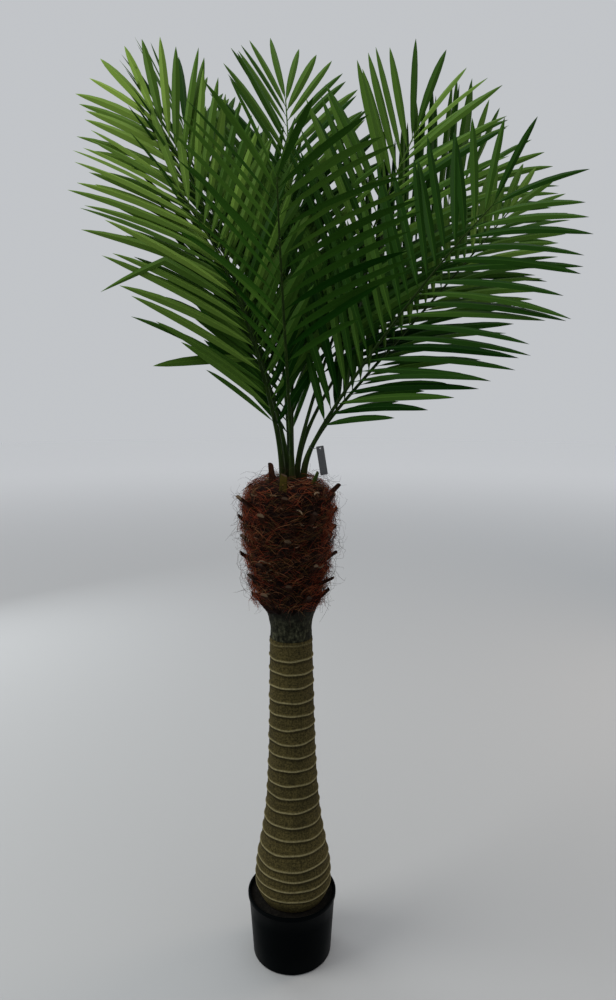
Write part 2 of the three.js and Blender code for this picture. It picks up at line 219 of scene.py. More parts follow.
def cloud(place, scale, detail=3.0, roughness=0.55):
    return place.node("ShaderNodeTexNoise", None,
                      {"Vector": place, "Scale": scale, "Detail": detail, "Roughness": roughness})


def blend(factor, low, high):
    return factor.node("ShaderNodeMix", {"data_type": "RGBA"}, {0: factor, 6: low, 7: high}, out=2)


def ramp(factor, *stops):
    return factor.node("ShaderNodeValToRGB", {"stops": stops}, {"Fac": factor})


def relief(height, distance, strength=1.0):
    sockets = {"Height": height, "Distance": distance, "Strength": strength}
    return height.node("ShaderNodeBump", None, sockets)


print("patterns:", [maker.__name__ for maker in (cloud, blend, ramp, relief)])

# %% [markdown]
# ## Skins over rings
#
# The pot, the trunk, the neck and the boot are all round, but none is a perfect cylinder. Spinning a
# profile would make them too even, so each is a skin over rings of points, and a ring may be pushed in
# and out point by point before the skin is laid. Rings run upwards and their points run
# anticlockwise, so the faces point outwards.

# %% A skin over rings, and how a piece joins the frame
def circle(sides):
    turn = np.linspace(0, 2 * math.pi, sides, endpoint=False)
    return turn, np.stack([np.cos(turn), np.sin(turn), 0 * turn], -1)


def turned(outline, sides):
    _, round_line = circle(sides)
    return np.array([radius * round_line + (0, 0, height) for radius, height in outline])


def skin(name, rings, capped=True):
    rings = np.asarray(rings, float)
    rows, sides = rings.shape[:2]
    index = np.arange(rows * sides).reshape(rows, sides)
    after = np.roll(index, -1, axis=1)
    faces = np.stack([index[:-1], after[:-1], after[1:], index[1:]], -1).reshape(-1, 4).tolist()
    points = rings.reshape(-1, 3).tolist()
    if capped:
        low, high = len(points), len(points) + 1
        points += [rings[0].mean(0).tolist(), rings[-1].mean(0).tolist()]
        faces += [(low, b, a) for a, b in zip(index[0].tolist(), after[0].tolist())]
        faces += [(high, a, b) for a, b in zip(index[-1].tolist(), after[-1].tolist())]
    mesh = bpy.data.meshes.new(name)
    mesh.from_pydata(points, [], faces, shade_flat=False)
    return mesh


def place_piece(name, mesh, nodes, materials=()):
    piece = new_object(name, mesh)
    for material in materials:
        mesh.materials.append(material)
    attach(piece, "root")
    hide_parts(*nodes)
    print(name, len(mesh.vertices), "points", len(mesh.polygons), "faces")


def mark(mesh, label, kind, domain, values):
    mesh.attributes.new(label, kind, domain).data.foreach_set("value", values)


def lumps(points, scale, detail=4):
    heights = [noise.fractal(Vector(p) * scale, 1.0, 2.0, detail) for p in points.reshape(-1, 3)]
    return np.array(heights).reshape(points.shape[:-1])


def swell(rings, push, round_line):
    rings[..., :2] += push[..., None] * round_line[None, :, :2]


print("rings, points and axes of a cone:", turned([(1, 0), (0.5, 1)], 8).shape)

# %% [markdown]
# ## Pot
#
# The pot is a thin cup of black plastic that tapers a little and has a band round its rim. A closed
# profile, out and up, over the rim, and down inside, gives it a real wall. Corners of a moulding are
# never sharp, so each has an extra pair of points close by.

# %% Satin black plastic
pot_plastic, start = new_finish("pot_plastic")
place = object_place(start)
scuffs = cloud(object_place(start, (1, 1, 0.25)), 55, 5)
grain = cloud(place, 1400, 2)
height_up = axis_of(place, "Z")
dust = (1 - height_up.between(0.0, 0.05)) * cloud(place, 30) * 0.5 + scuffs.between(0.6, 0.8) * 0.2
coat(pot_plastic, {
    "Base Color": blend(dust * 0.4, tint(1, 3, 4), tint(20, 24, 25)),
    "Roughness": 0.24 + 0.26 * scuffs,
    "Normal": relief(grain, 0.00012, 0.3),
    "Specular IOR Level": 0.018,
})

# %% Pot shell
POT_SIDES, POT_SHARP_FROM = 128, 50
POT_OUTLINE = [
    (0.0400, 0.0000), (0.0770, 0.0000), (0.0785, 0.0004), (0.0798, 0.0016), (0.0802, 0.0032),
    (0.0830, 0.0500), (0.0858, 0.0940), (0.0878, 0.1244), (0.0886, 0.1254), (0.0898, 0.1260),
    (0.0901, 0.1268), (0.0902, 0.1325), (0.0899, 0.1335), (0.0892, 0.1340), (0.0868, 0.1340),
    (0.0860, 0.1337), (0.0856, 0.1330), (0.0850, 0.1240), (0.0815, 0.0700), (0.0775, 0.0060),
    (0.0755, 0.0042), (0.0400, 0.0040),
]
pot_mesh = skin("pot_shell", turned(POT_OUTLINE, POT_SIDES))
pot_mesh.set_sharp_from_angle(angle=math.radians(POT_SHARP_FROM))
place_piece("pot_shell", pot_mesh, ["pot"], [pot_plastic])

# %% [markdown]
# ## Cement fill
#
# The cement was poured and left rough. A disc of rings with lumps on its top is enough, since only
# a narrow ring of it shows between the trunk and the pot.

# %% Rough dark cement
cement, start = new_finish("dark_cement")
place = object_place(start)
grit = cloud(place, 260, 6, 0.7)
coat(cement, {
    "Base Color": ramp(grit, (0.3, tint(6, 6, 5)), (0.55, tint(19, 17, 14)), (0.8, tint(44, 39, 33))),
    "Roughness": 0.95,
    "Specular IOR Level": 0.1,
    "Normal": relief(grit, 0.0012, 0.9),
})

# %% Fill inside the pot
FILL_TOP, FILL_EDGE, FILL_MIDDLE = 0.127, 0.0842, 0.0300
FILL_WALL = [(0.0755, 0.0045), (0.0800, 0.0600), (0.0846, FILL_TOP - 0.001)]
FILL_SIDES, FILL_RINGS = 96, 24
FILL_ROUGHNESS, FILL_LUMP_SCALE, FILL_LUMP_LEVEL = 0.0022, 90, 0.6
rows = [(radius, FILL_TOP) for radius in np.linspace(FILL_EDGE, FILL_MIDDLE, FILL_RINGS)]
rings = turned(FILL_WALL + rows, FILL_SIDES)
top = rings[len(FILL_WALL):]
top[..., 2] += FILL_ROUGHNESS * (lumps(top, FILL_LUMP_SCALE) - FILL_LUMP_LEVEL)
place_piece("pot_cement", skin("pot_cement", rings), ["pot_fill"], [cement])

# %% [markdown]
# ## Trunk
#
# The trunk is a light core in coarse woven cloth that is gathered into a ring every few centimetres.
# A ring is a ridge with a tuck below it, and none is quite level. The outline is a smooth line through
# a few radii. The weave is far finer than the mesh, so it is left to the material, on a UV map that
# runs round and up the trunk. It is measured in metres at the trunk's mean girth, so the threads are a
# little wider at the flare, as in cloth that is stretched there.

# %% Woven cloth
THREAD, THREAD_WOBBLE = 0.0026, 0.0016

burlap, start = new_finish("woven_cloth")
cloth_uv = start.node("ShaderNodeUVMap", {"uv_map": "cloth"})
wobble = cloud(object_place(start), 120, 2)
around = axis_of(cloth_uv, "X") + THREAD_WOBBLE * wobble
upward = axis_of(cloth_uv, "Y") - THREAD_WOBBLE * wobble
crossing = (around * (2 * math.pi / THREAD)).sine() * (upward * (2 * math.pi / THREAD)).sine()
upright_uv = start.node("ShaderNodeMapping", None, {"Vector": cloth_uv, "Scale": (420, 14, 1)})
level_uv = start.node("ShaderNodeMapping", None, {"Vector": cloth_uv, "Scale": (14, 420, 1)})
slubs = (cloud(upright_uv, 1.0, 2) + cloud(level_uv, 1.0, 2)) * 0.5
stains = cloud(object_place(start), 16, 4)
ridge = start.node("ShaderNodeAttribute", {"attribute_name": "ridge"}, out="Fac")
thread_up = 0.5 + 0.5 * crossing
grain = cloud(object_place(start), 280, 3, 0.65)
speckle = thread_up * 0.35 + slubs.between(0.35, 0.7) * 0.3 + grain.between(0.36, 0.66) * 0.5
# tuck is the groove under each ring: blending the cloth darker there paints shade into it
tuck = ridge.math("MAXIMUM", -1.0 * ridge, 0.0)
# each ring's crest is blended paler, a painted highlight on the ridge
painted_crest_highlight = ridge.math("MAXIMUM", ridge, 0.0) * (0.5 + 0.4 * grain.between(0.3, 0.7))
cloth = blend(speckle, tint(18, 16, 4), tint(90, 81, 46))
cloth = blend(stains.between(0.45, 0.75) * 0.5, cloth, tint(42, 38, 19))
cloth = blend(tuck * 0.5, cloth, tint(12, 10, 5))
cloth = blend(painted_crest_highlight, cloth, tint(150, 142, 104))
coat(burlap, {
    "Base Color": cloth,
    "Roughness": 0.92,
    "Specular IOR Level": 0.1,
    "Normal": relief(crossing * 0.5 + slubs + grain, 0.0011, 0.9),
})

# %% Trunk outline and rings
TRUNK_FOOT, TRUNK_TOP = 0.1273, 0.6767
TRUNK_OUTLINE = [
    (TRUNK_FOOT, 0.0640), (0.145, 0.0725), (0.175, 0.0760), (0.215, 0.0720), (0.265, 0.0625),
    (0.330, 0.0535), (0.420, 0.0475), (0.530, 0.0440), (0.677, 0.0415),
]
TRUNK_LEAN = 0.003
TRUNK_SIDES, TRUNK_ROWS = 144, 420
RING_FIRST, RING_CLOSE_COUNT, RING_CLOSE_PITCH = 0.159, 3, 0.021
RING_PITCH, RING_COUNT = 0.028, 19
RING_PROUD, RING_HALF = 0.0019, 0.0024
RING_WAVES = [(0.0013, 1, 2.1), (0.0007, 3, 1.3), (0.0004, 7, 4.7)]
RIDGE_HALF, RIDGE_GAIN, RIDGE_CUT = 0.0019, 1.5, 0.3
TUCK_DEPTH, TUCK_BELOW, TUCK_HALF = 0.0009, 0.0050, 0.0028
HEM_HEIGHT, HEM_SHARE = 0.6700, 0.3
CLOTH_LUMP, CLOTH_LUMP_SCALE, CLOTH_LUMP_DETAIL = 0.0006, 26, 3


def smooth_line(pairs, places):
    x, y = np.array(pairs).T
    slope = np.gradient(y, x)
    at = np.clip(np.searchsorted(x, places) - 1, 0, len(x) - 2)
    gap = x[at + 1] - x[at]
    t = (places - x[at]) / gap
    return ((1 + 2 * t) * (1 - t) ** 2 * y[at] + t * (1 - t) ** 2 * gap * slope[at]
            + t * t * (3 - 2 * t) * y[at + 1] + t * t * (t - 1) * gap * slope[at + 1])


def ring_height(number):
    close = min(number, RING_CLOSE_COUNT)
    return RING_FIRST + close * RING_CLOSE_PITCH + (number - close) * RING_PITCH


ring_heights = [(ring_height(number), 1.0) for number in range(RING_COUNT)] + [(HEM_HEIGHT, HEM_SHARE)]
print("rings:", len(ring_heights), "from", ring_heights[0][0], "to", round(ring_heights[-2][0], 4))

# %% Trunk skin, pushed out at each ring and in below it
def hump(away, half):
    return np.exp(-(away / half) ** 2)


turn, round_line = circle(TRUNK_SIDES)
heights = np.linspace(TRUNK_FOOT, TRUNK_TOP, TRUNK_ROWS)
level = np.repeat(heights[:, None], TRUNK_SIDES, 1)
push = np.zeros_like(level)
ridge_mask = np.zeros_like(level)
for number, (height, share) in enumerate(ring_heights):
    wave = sum(high * np.sin(turns * turn + step * number) for high, turns, step in RING_WAVES)
    away = level - (height + wave)[None, :]
    groove = hump(away + TUCK_BELOW, TUCK_HALF)
    push += RING_PROUD * (hump(away, RING_HALF) * share) - TUCK_DEPTH * groove
    ridge_mask += np.clip(RIDGE_GAIN * hump(away, RIDGE_HALF) - RIDGE_CUT, 0, 1) * share
    ridge_mask -= groove * share
radius = smooth_line(TRUNK_OUTLINE, heights)[:, None] + push
rings = radius[..., None] * round_line[None]
rings[..., 2] = level
swell(rings, CLOTH_LUMP * lumps(rings, CLOTH_LUMP_SCALE, CLOTH_LUMP_DETAIL), round_line)
rings[..., 0] += TRUNK_LEAN * (TRUNK_TOP - level) / (TRUNK_TOP - TRUNK_FOOT)
trunk_mesh = skin("trunk_cloth", rings)
print("pushed by", round(1000 * push.min(), 2), "to", round(1000 * push.max(), 2), "mm")

# %% Threads measured in metres, and ridges and tucks marked for the cloth's painted highlight and shade
MEAN_RADIUS = 0.055
TRUNK_GIRTH = 2 * math.pi * MEAN_RADIUS
steps_round = np.arange(TRUNK_SIDES + 1) / TRUNK_SIDES * TRUNK_GIRTH
corners = np.zeros((TRUNK_ROWS - 1, TRUNK_SIDES, 4, 2))
corners[..., 0, 0] = corners[..., 3, 0] = steps_round[:-1]
corners[..., 1, 0] = corners[..., 2, 0] = steps_round[1:]
corners[..., 0, 1] = corners[..., 1, 1] = heights[:-1, None]
corners[..., 2, 1] = corners[..., 3, 1] = heights[1:, None]
flat = np.zeros(len(trunk_mesh.loops) * 2)
flat[:corners.size] = corners.ravel()
trunk_mesh.uv_layers.new(name="cloth").data.foreach_set("uv", flat)
marks = np.zeros(len(trunk_mesh.vertices))
marks[:ridge_mask.size] = ridge_mask.ravel()
mark(trunk_mesh, "ridge", "FLOAT", "POINT", marks)
place_piece("trunk_cloth", trunk_mesh, ["trunk"], [burlap])

# %% [markdown]
# ## Neck
#
# Above the cloth the trunk shows a short bare length: grey-green, blotched and rough, with painted
# shade that darkens it under the boot. It is grooved along its height, which a noise stretched upwards
# gives.

# %% Blotched bark
neck_bark, start = new_finish("neck_bark")
place = object_place(start)
blotches = cloud(place, 105, 4, 0.7)
streaks = cloud(object_place(start, (1, 1, 0.4)), 210, 4, 0.6)
# painted shade: the bark darkens over the top of the bare length, under the boot
shade = axis_of(place, "Z").between(0.705, 0.738)
bark = ramp(blotches * 0.55 + streaks * 0.45, (0.40, tint(10, 11, 6)), (0.50, tint(30, 31, 21)),
            (0.58, tint(54, 55, 41)), (0.68, tint(84, 84, 64)))
coat(neck_bark, {
    "Base Color": blend(shade * 0.85, bark, tint(17, 16, 12)),
    "Roughness": 0.9,
    "Specular IOR Level": 0.1,
    "Normal": relief(streaks + blotches, 0.0022, 1.0),
})

# %% Neck skin
NECK_OUTLINE = [(0.677, 0.0400), (0.700, 0.0402), (0.718, 0.0432), (0.736, 0.0490), (0.745, 0.0500)]
NECK_FOOT, NECK_TOP, NECK_SIDES, NECK_ROWS = 0.6772, 0.742, 120, 48
GROOVE_DEPTH, GROOVE_SCALE, GROOVE_STRETCH = 0.0011, 120, (1, 1, 0.25)
_, round_line = circle(NECK_SIDES)
heights = np.linspace(NECK_FOOT, NECK_TOP, NECK_ROWS)
rings = smooth_line(NECK_OUTLINE, heights)[:, None, None] * round_line[None]
rings[..., 2] = heights[:, None]
swell(rings, GROOVE_DEPTH * lumps(rings * GROOVE_STRETCH, GROOVE_SCALE), round_line)
place_piece("neck_skin", skin("neck_skin", rings), ["trunk_neck"], [neck_bark])

# %% [markdown]
# ## Rules in Geometry Nodes
#
# Leaflets, leaf bases and fibres are many copies of a few shapes, and stalks are tubes along lines.
# Geometry Nodes make them and this script only works out where. A tree is given to a carrier mesh as
# a modifier. Its result is taken as a plain mesh, and the carrier is thrown away with its modifier.

# %% Building a tree
def new_tree(name, inputs):
    tree = bpy.data.node_groups.new(name, "GeometryNodeTree")
    tree.interface.new_socket("Geometry", in_out="INPUT", socket_type="NodeSocketGeometry")
    for label, kind in inputs.items():
        tree.interface.new_socket(label, in_out="INPUT", socket_type="NodeSocket" + kind)
    tree.interface.new_socket("Geometry", in_out="OUTPUT", socket_type="NodeSocketGeometry")
    entry = tree.nodes.new("NodeGroupInput")
    return tree, {socket.name: Wire(tree, socket) for socket in entry.outputs if socket.name}


def end_tree(tree, result):
    tree.links.new(result.socket, tree.nodes.new("NodeGroupOutput").inputs[0])
    print("tree", tree.name, "has", len(tree.nodes), "nodes")


def attribute(start, name, kind="FLOAT"):
    return start.node("GeometryNodeInputNamedAttribute", {"data_type": kind}, {"Name": name})


def vector_sum(first, second):
    return first.node("ShaderNodeVectorMath", {"operation": "ADD"}, {0: first, 1: second})


def scaled(vector, size):
    return vector.node("ShaderNodeVectorMath", {"operation": "SCALE"}, {0: vector, "Scale": size})


def is_equal(value, number):
    settings = {"data_type": "INT", "operation": "EQUAL"}
    return value.node("FunctionNodeCompare", settings, {2: value, 3: number})


def painted(shape, material, where=None):
    sockets = {"Geometry": shape, "Material": material}
    if where is not None:
        sockets["Selection"] = where
    return shape.node("GeometryNodeSetMaterial", None, sockets)


print("trees so far:", len(bpy.data.node_groups))

# %% Taking a tree's result
ATTRIBUTE_KINDS = {"f": "FLOAT", "i": "INT"}


def take_result(name, carrier_mesh, tree, values, spare=()):
    carrier = new_object(name + "_carrier", carrier_mesh)
    rule = carrier.modifiers.new("rule", "NODES")
    rule.node_group = tree
    for item in tree.interface.items_tree:
        if item.in_out == "INPUT" and item.name in values:
            rule[item.identifier] = values[item.name]
    solved = carrier.evaluated_get(bpy.context.evaluated_depsgraph_get())
    mesh = bpy.data.meshes.new_from_object(solved)
    mesh.name = name
    bpy.data.objects.remove(carrier)
    bpy.data.meshes.remove(carrier_mesh)
    for label in spare:
        if label in mesh.attributes:
            mesh.attributes.remove(mesh.attributes[label])
    return mesh


def point_mesh(name, points, values, edges=()):
    mesh = bpy.data.meshes.new(name)
    mesh.from_pydata(np.asarray(points).tolist(), list(edges), [])
    for label, array in values.items():
        array = np.asarray(array)
        kind = "FLOAT_VECTOR" if array.ndim == 2 else ATTRIBUTE_KINDS[array.dtype.kind]
        made = mesh.attributes.new(label, kind, "POINT")
        made.data.foreach_set("vector" if array.ndim == 2 else "value", array.ravel())
    return mesh


print("a point can carry:", [*ATTRIBUTE_KINDS.values(), "FLOAT_VECTOR"])

# %% [markdown]
# A tube along a line serves the stalks, the strands of coir and the wire of the tag. Its carrier is a
# chain of points with the tube's radius on each.

# %% Tube along a line
tube_tree, wires = new_tree("tube_along_line", {"Sides": "Int", "Finish": "Material"})
line = wires["Geometry"].node("GeometryNodeMeshToCurve", None, {"Mesh": wires["Geometry"]})
profile = line.node("GeometryNodeCurvePrimitiveCircle", None, {
    "Resolution": wires["Sides"], "Radius": 1.0})
tube = line.node("GeometryNodeCurveToMesh", None, {
    "Curve": line, "Profile Curve": profile, "Scale": attribute(line, "thick"), "Fill Caps": True})
tube = tube.node("GeometryNodeSetShadeSmooth", None, {"Geometry": tube})
tube = tube.node("GeometryNodeRealizeInstances", None, {"Geometry": tube})
end_tree(tube_tree, painted(tube, wires["Finish"]))


def tube_mesh(name, points, thick, sides, finish):
    chain = [(k, k + 1) for k in range(len(points) - 1)]
    carrier = point_mesh(name, points, {"thick": np.asarray(thick, float)}, chain)
    return take_result(name, carrier, tube_tree, {"Sides": sides, "Finish": finish})


# %% [markdown]
# Copies on aimed points serve the leaflets and the leaf bases. Each point says which way its copy
# goes, which way its width lies, how long and wide it is, how far it sags and which of the finishes it
# takes. The copies are realised first, so that sag, side bend and a kink can be worked out along each.
# A point that says nothing of one of these gets none of it. A copy's faces say which part of it they
# are, and part and tone together pick the finish.

# %% Copies on aimed points
KINK_FROM = 0.58
PART_STEP = 10


def planted_tree(name, finishes):
    tree, wires = new_tree(name, {"Copy": "Object"})
    points = wires["Geometry"]
    shape = points.node("GeometryNodeObjectInfo", None, {"Object": wires["Copy"]}, out="Geometry")
    aim, across = attribute(points, "aim", "FLOAT_VECTOR"), attribute(points, "across", "FLOAT_VECTOR")
    facing = points.node("FunctionNodeAxesToRotation", {"primary_axis": "Z", "secondary_axis": "X"},
                         {"Primary Axis": aim, "Secondary Axis": across})
    half, reach = attribute(points, "half"), attribute(points, "reach")
    size = points.node("ShaderNodeCombineXYZ", None, {"X": half, "Y": half, "Z": reach})
    copies = points.node("GeometryNodeInstanceOnPoints", None, {
        "Points": points, "Instance": shape, "Rotation": facing, "Scale": size})
    copies = copies.node("GeometryNodeRealizeInstances", None, {"Geometry": copies})
    out = attribute(copies, "outwards")
    curve, past = out * out * reach, out - KINK_FROM
    hook = past.math("MAXIMUM", past, 0.0) * reach * attribute(copies, "kink")
    drop = curve * attribute(copies, "sag") + hook
    fall = points.node("ShaderNodeCombineXYZ", None, {"Z": -1.0 * drop})
    shift = vector_sum(fall, scaled(across, curve * attribute(copies, "bend")))
    copies = copies.node("GeometryNodeSetPosition", None, {"Geometry": copies, "Offset": shift})
    kind = attribute(copies, "part", "INT") * PART_STEP + attribute(copies, "tone", "INT")
    for number, material in finishes.items():
        copies = painted(copies, material, is_equal(kind, number))
    end_tree(tree, copies)
    return tree


def planted_mesh(name, tree, points, values, copy):
    spare = [*values, "part", "outwards"]
    return take_result(name, point_mesh(name, points, values), tree, {"Copy": copy}, spare)


def marked_copy(name, mesh, parts, outwards):
    mark(mesh, "part", "INT", "FACE", parts)
    mark(mesh, "outwards", "FLOAT", "POINT", outwards)
    return new_object(name, mesh)


print("a kink starts at", KINK_FROM, "of a copy's length")

# %% [markdown]
# ## Coir boot
# The boot is a tangle of reddish coir wrapped in layers, one layer to each row of leaf bases. The
# tangle is real strands, scattered over a dark body that steps in above each layer. Hair particles
# would not survive an export, so the strands are short bent tubes, realised into a mesh. Each has one
# plain colour out of a few: on so many small faces a pattern would be lost. Two mixes are sprayed, a
# red one in patches and a brown one between, then loose hairs and chips of husk. The red mix also
# thickens towards the boot's left and right sides as painted rim light, so the brown one, with its
# many dark strands, lies thicker at front and back as painted shade.

# %% Coir finishes
COIR_TINTS = {"red": (106, 43, 25), "dark": (20, 9, 6), "orange": (142, 70, 40), "tan": (142, 96, 64),
              "umber": (64, 37, 20), "olive": (84, 62, 32), "hair": (58, 42, 34),
              "husk": (92, 74, 56), "pale_husk": (138, 118, 94)}
coir = {name: plain_finish("coir_" + name, tint(*colour), 0.85, Specular_IOR_Level=0.08)
        for name, colour in COIR_TINTS.items()}

coir_body, start = new_finish("coir_body")
tangle = cloud(object_place(start, (1, 1, 2.2)), 300, 5, 0.7)
coat(coir_body, {
    "Base Color": ramp(tangle, (0.35, tint(5, 2, 2)), (0.55, tint(22, 9, 6)), (0.75, tint(48, 20, 12))),
    "Roughness": 0.95,
    "Specular IOR Level": 0.1,
    "Normal": relief(tangle, 0.002, 1.0),
})

# %% Boot body in layers
BOOT_OUTLINE = [
    (0.7363, 0.0500), (0.752, 0.0580), (0.772, 0.0630), (0.800, 0.0680), (0.840, 0.0740),
    (0.880, 0.0795), (0.915, 0.0815), (0.945, 0.0800), (0.962, 0.0745), (0.975, 0.0620),
    (0.986, 0.0360),
]
BOOT_SHIFT = -0.004
BOOT_SIDES, BOOT_ROWS, BOOT_ROW_POWER = 120, 110, 1.15
BOOT_LUMP, BOOT_LUMP_SCALE = 0.0032, 70
STUB_ROWS, STUBS_PER_ROW, STUB_FIRST_ROW, STUB_ROW_PITCH = 6, 6, 0.747, 0.037
LAYER_FLARE, LAYER_POWER, LAYER_END, LAYER_FADE = 0.009, 1.5, 0.972, 0.03
LAYER_SWAYS = [(0.35, 3, 0.6), (0.2, 7, 0.0)]

turn, round_line = circle(BOOT_SIDES)
foot, top = BOOT_OUTLINE[0][0], BOOT_OUTLINE[-1][0]
heights = foot + (top - foot) * np.sin(np.linspace(0, math.pi / 2, BOOT_ROWS)) ** BOOT_ROW_POWER
radius = smooth_line(BOOT_OUTLINE, heights)[:, None]
sway = sum(size * np.sin(turns * turn + shift) for size, turns, shift in LAYER_SWAYS)
layer = ((heights[:, None] - STUB_FIRST_ROW) / STUB_ROW_PITCH + sway[None, :]) % 1.0
fade = np.clip((LAYER_END - heights) / LAYER_FADE, 0, 1)[:, None]
rings = (radius + LAYER_FLARE * fade * (layer ** LAYER_POWER - 0.5))[..., None] * round_line[None]
rings[..., 2] = heights[:, None]
swell(rings, BOOT_LUMP * lumps(rings, BOOT_LUMP_SCALE), round_line)
rings[..., 0] += BOOT_SHIFT
boot_mesh = skin("boot_body", rings)
place_piece("boot_body", boot_mesh, ["fibre_boot"], [coir_body])

# %% The part of the body that strands grow on
STRAND_FROM = 0.748
COVER_LEAST, COVER_GAIN, COVER_START = 0.25, 1.6, 0.2
RED_MEAN, RIM_LIGHT_RED_AT_SIDES, SIDES_FROM, RED_RANGE = 0.5, 1.3, 0.66, (0.1, 0.95)
RED_IN_PATCHES, PATCH_SCALE, PATCH_DETAIL = 1.2, 26, 2
grown = rings[np.searchsorted(heights, STRAND_FROM):]
cover = np.clip(layer[-len(grown):] * COVER_GAIN - COVER_START, 0, 1)
cover = COVER_LEAST + (1 - COVER_LEAST) * cover
sides = np.abs(round_line[None, :, 0]) - SIDES_FROM
patches = lumps(grown, PATCH_SCALE, PATCH_DETAIL)
# the red share rises towards the boot's left and right sides as painted rim light, and the brown share
# falls there in step; the patches are the coir's own colour
red_share = np.clip(RED_MEAN + RIM_LIGHT_RED_AT_SIDES * sides + RED_IN_PATCHES * patches, *RED_RANGE)


def strand_ground(name, share):
    ground = skin(name, grown, capped=False)
    mark(ground, "cover", "FLOAT", "POINT", (cover * share).ravel())
    return ground


red_ground = strand_ground("red_ground", red_share)
brown_ground = strand_ground("brown_ground", 1 - red_share)
whole_ground = strand_ground("whole_ground", 1.0)
print("share of red strands:", round(float(red_share.mean()), 2))

# %% Strands to scatter
STRAND_POINTS, STRAND_SIDES = 7, 3
HOOK_TURN, TIP_LOSS, TIP_POWER = 5, 0.5, 3


def bent_strand(name, length, radius, bow, hook):
    along = np.linspace(-0.5, 0.5, STRAND_POINTS)
    points = np.stack([length * along, length * bow * (0.25 - along ** 2) * 4,
                       length * hook * np.sin(along * HOOK_TURN)], -1)
    thick = radius * (1 - TIP_LOSS * np.abs(2 * along) ** TIP_POWER)
    return bpy.data.objects.new(name, tube_mesh(name, points, thick, STRAND_SIDES, coir["red"]))


def strand_set(name, shapes, length, radius, flatness=1.0):
    strands = bpy.data.collections.new(name)
    for number, (bow, hook) in enumerate(shapes):
        strand = bent_strand(f"{name}_{number}", length, radius, bow, hook)
        strand.data.transform(Matrix.Diagonal((1, 1, flatness, 1)))
        strands.objects.link(strand)
    bpy.context.scene.collection.children.link(strands)
    return strands


MAT_SHAPES = [(0.03, 0.02), (0.08, 0.03), (0.14, -0.04), (0.05, 0.06), (0.20, 0.02)]
HAIR_SHAPES = [(0.10, 0.10), (0.25, 0.18), (0.40, 0.08), (0.18, 0.30)]
CHIP_SHAPES = [(0.05, 0.02), (0.20, 0.05), (-0.15, 0.04)]
MAT_SIZE, HAIR_SIZE, CHIP_SIZE = (0.025, 0.00034), (0.062, 0.00022), (0.013, 0.0017)
CHIP_FLATNESS = 0.4
mat_strands = strand_set("mat_strand", MAT_SHAPES, *MAT_SIZE)
hair_strands = strand_set("hair_strand", HAIR_SHAPES, *HAIR_SIZE)
chip_strands = strand_set("chip_strand", CHIP_SHAPES, *CHIP_SIZE, CHIP_FLATNESS)
print("strand shapes:", len(MAT_SHAPES) + len(HAIR_SHAPES) + len(CHIP_SHAPES))

# %% [markdown]
# The strands are copies again, but their points are scattered by a node, thickly where the ground says
# so. One kind of node draws all random values: its sockets for numbers, vectors and counts come in
# pairs, and each use has a seed of its own. A strand starts level on the boot's surface, is lifted and
# turned at random, and takes a finish by a random tone.

# %% Strands scattered over a surface
SCATTER_INPUTS = {"Strands": "Collection", "Density": "Float", "Seed": "Int", "Lift": "Float",
                  "Least tilt": "Vector", "Most tilt": "Vector"}
RANDOM_SOCKETS = {"FLOAT_VECTOR": (0, 0), "FLOAT": (2, 1), "INT": (4, 2)}
SEED_SOCKET = 8
LIFT_SEED, TONE_SEED, TILT_SEED, SIZE_SEED, SHAPE_SEED = 11, 23, 37, 41, 53
TONE_DRAWS, SHAPE_DRAWS = 20, 50
STRAND_SIZES = (0.6, 1.25)


def random_value(start, kind, low, high, seed):
    first, out = RANDOM_SOCKETS[kind]
    sockets = {first: low, first + 1: high, SEED_SOCKET: seed}
    return start.node("FunctionNodeRandomValue", {"data_type": kind}, sockets, out)


def scatter_tree(name, finishes):
    tree, wires = new_tree(name, SCATTER_INPUTS)
    ground, seed = wires["Geometry"], wires["Seed"]
    scattered = ground.node("GeometryNodeDistributePointsOnFaces", None, {
        "Mesh": ground, "Density": wires["Density"] * attribute(ground, "cover"), "Seed": seed})
    outward = Wire(tree, scattered.socket.node.outputs["Normal"])
    level = ground.node("ShaderNodeVectorMath", {"operation": "CROSS_PRODUCT"},
                        {0: (0, 0, 1), 1: outward})
    upright = ground.node("FunctionNodeAxesToRotation", {"primary_axis": "Z", "secondary_axis": "X"},
                          {"Primary Axis": outward, "Secondary Axis": level})
    lift = random_value(ground, "FLOAT", 0.0, wires["Lift"], LIFT_SEED)
    lifted = scattered.node("GeometryNodeSetPosition", None, {
        "Geometry": scattered, "Offset": scaled(outward, lift)})
    tone = random_value(ground, "INT", 0, TONE_DRAWS - 1, TONE_SEED)
    lifted = lifted.node("GeometryNodeStoreNamedAttribute", {"data_type": "INT", "domain": "POINT"},
                         {"Geometry": lifted, "Name": "tone", "Value": tone})
    shapes = ground.node("GeometryNodeCollectionInfo", None, {
        "Collection": wires["Strands"], "Separate Children": True, "Reset Children": True})
    lean = random_value(ground, "FLOAT_VECTOR", wires["Least tilt"], wires["Most tilt"], TILT_SEED)
    lean = ground.node("FunctionNodeEulerToRotation", None, {0: lean})
    facing = ground.node("FunctionNodeRotateRotation", {"rotation_space": "LOCAL"},
                         {"Rotation": upright, "Rotate By": lean})
    copies = lifted.node("GeometryNodeInstanceOnPoints", None, {
        "Points": lifted, "Instance": shapes, "Pick Instance": True, "Rotation": facing,
        "Instance Index": random_value(ground, "INT", 0, SHAPE_DRAWS, SHAPE_SEED),
        "Scale": random_value(ground, "FLOAT", *STRAND_SIZES, SIZE_SEED)})
    copies = copies.node("GeometryNodeRealizeInstances", None, {"Geometry": copies})
    for number, material in enumerate(finishes):
        where = None if number == 0 else is_equal(attribute(copies, "tone", "INT"), number)
        copies = painted(copies, material, where)
    end_tree(tree, copies)
    return tree


print("a scatter tree takes:", ", ".join(SCATTER_INPUTS))

# %% Strands, hairs and chips sprayed on the boot
def mix(usual, *shares):
    return [coir[usual]] + [coir[name] for name, count in shares for _ in range(count)]


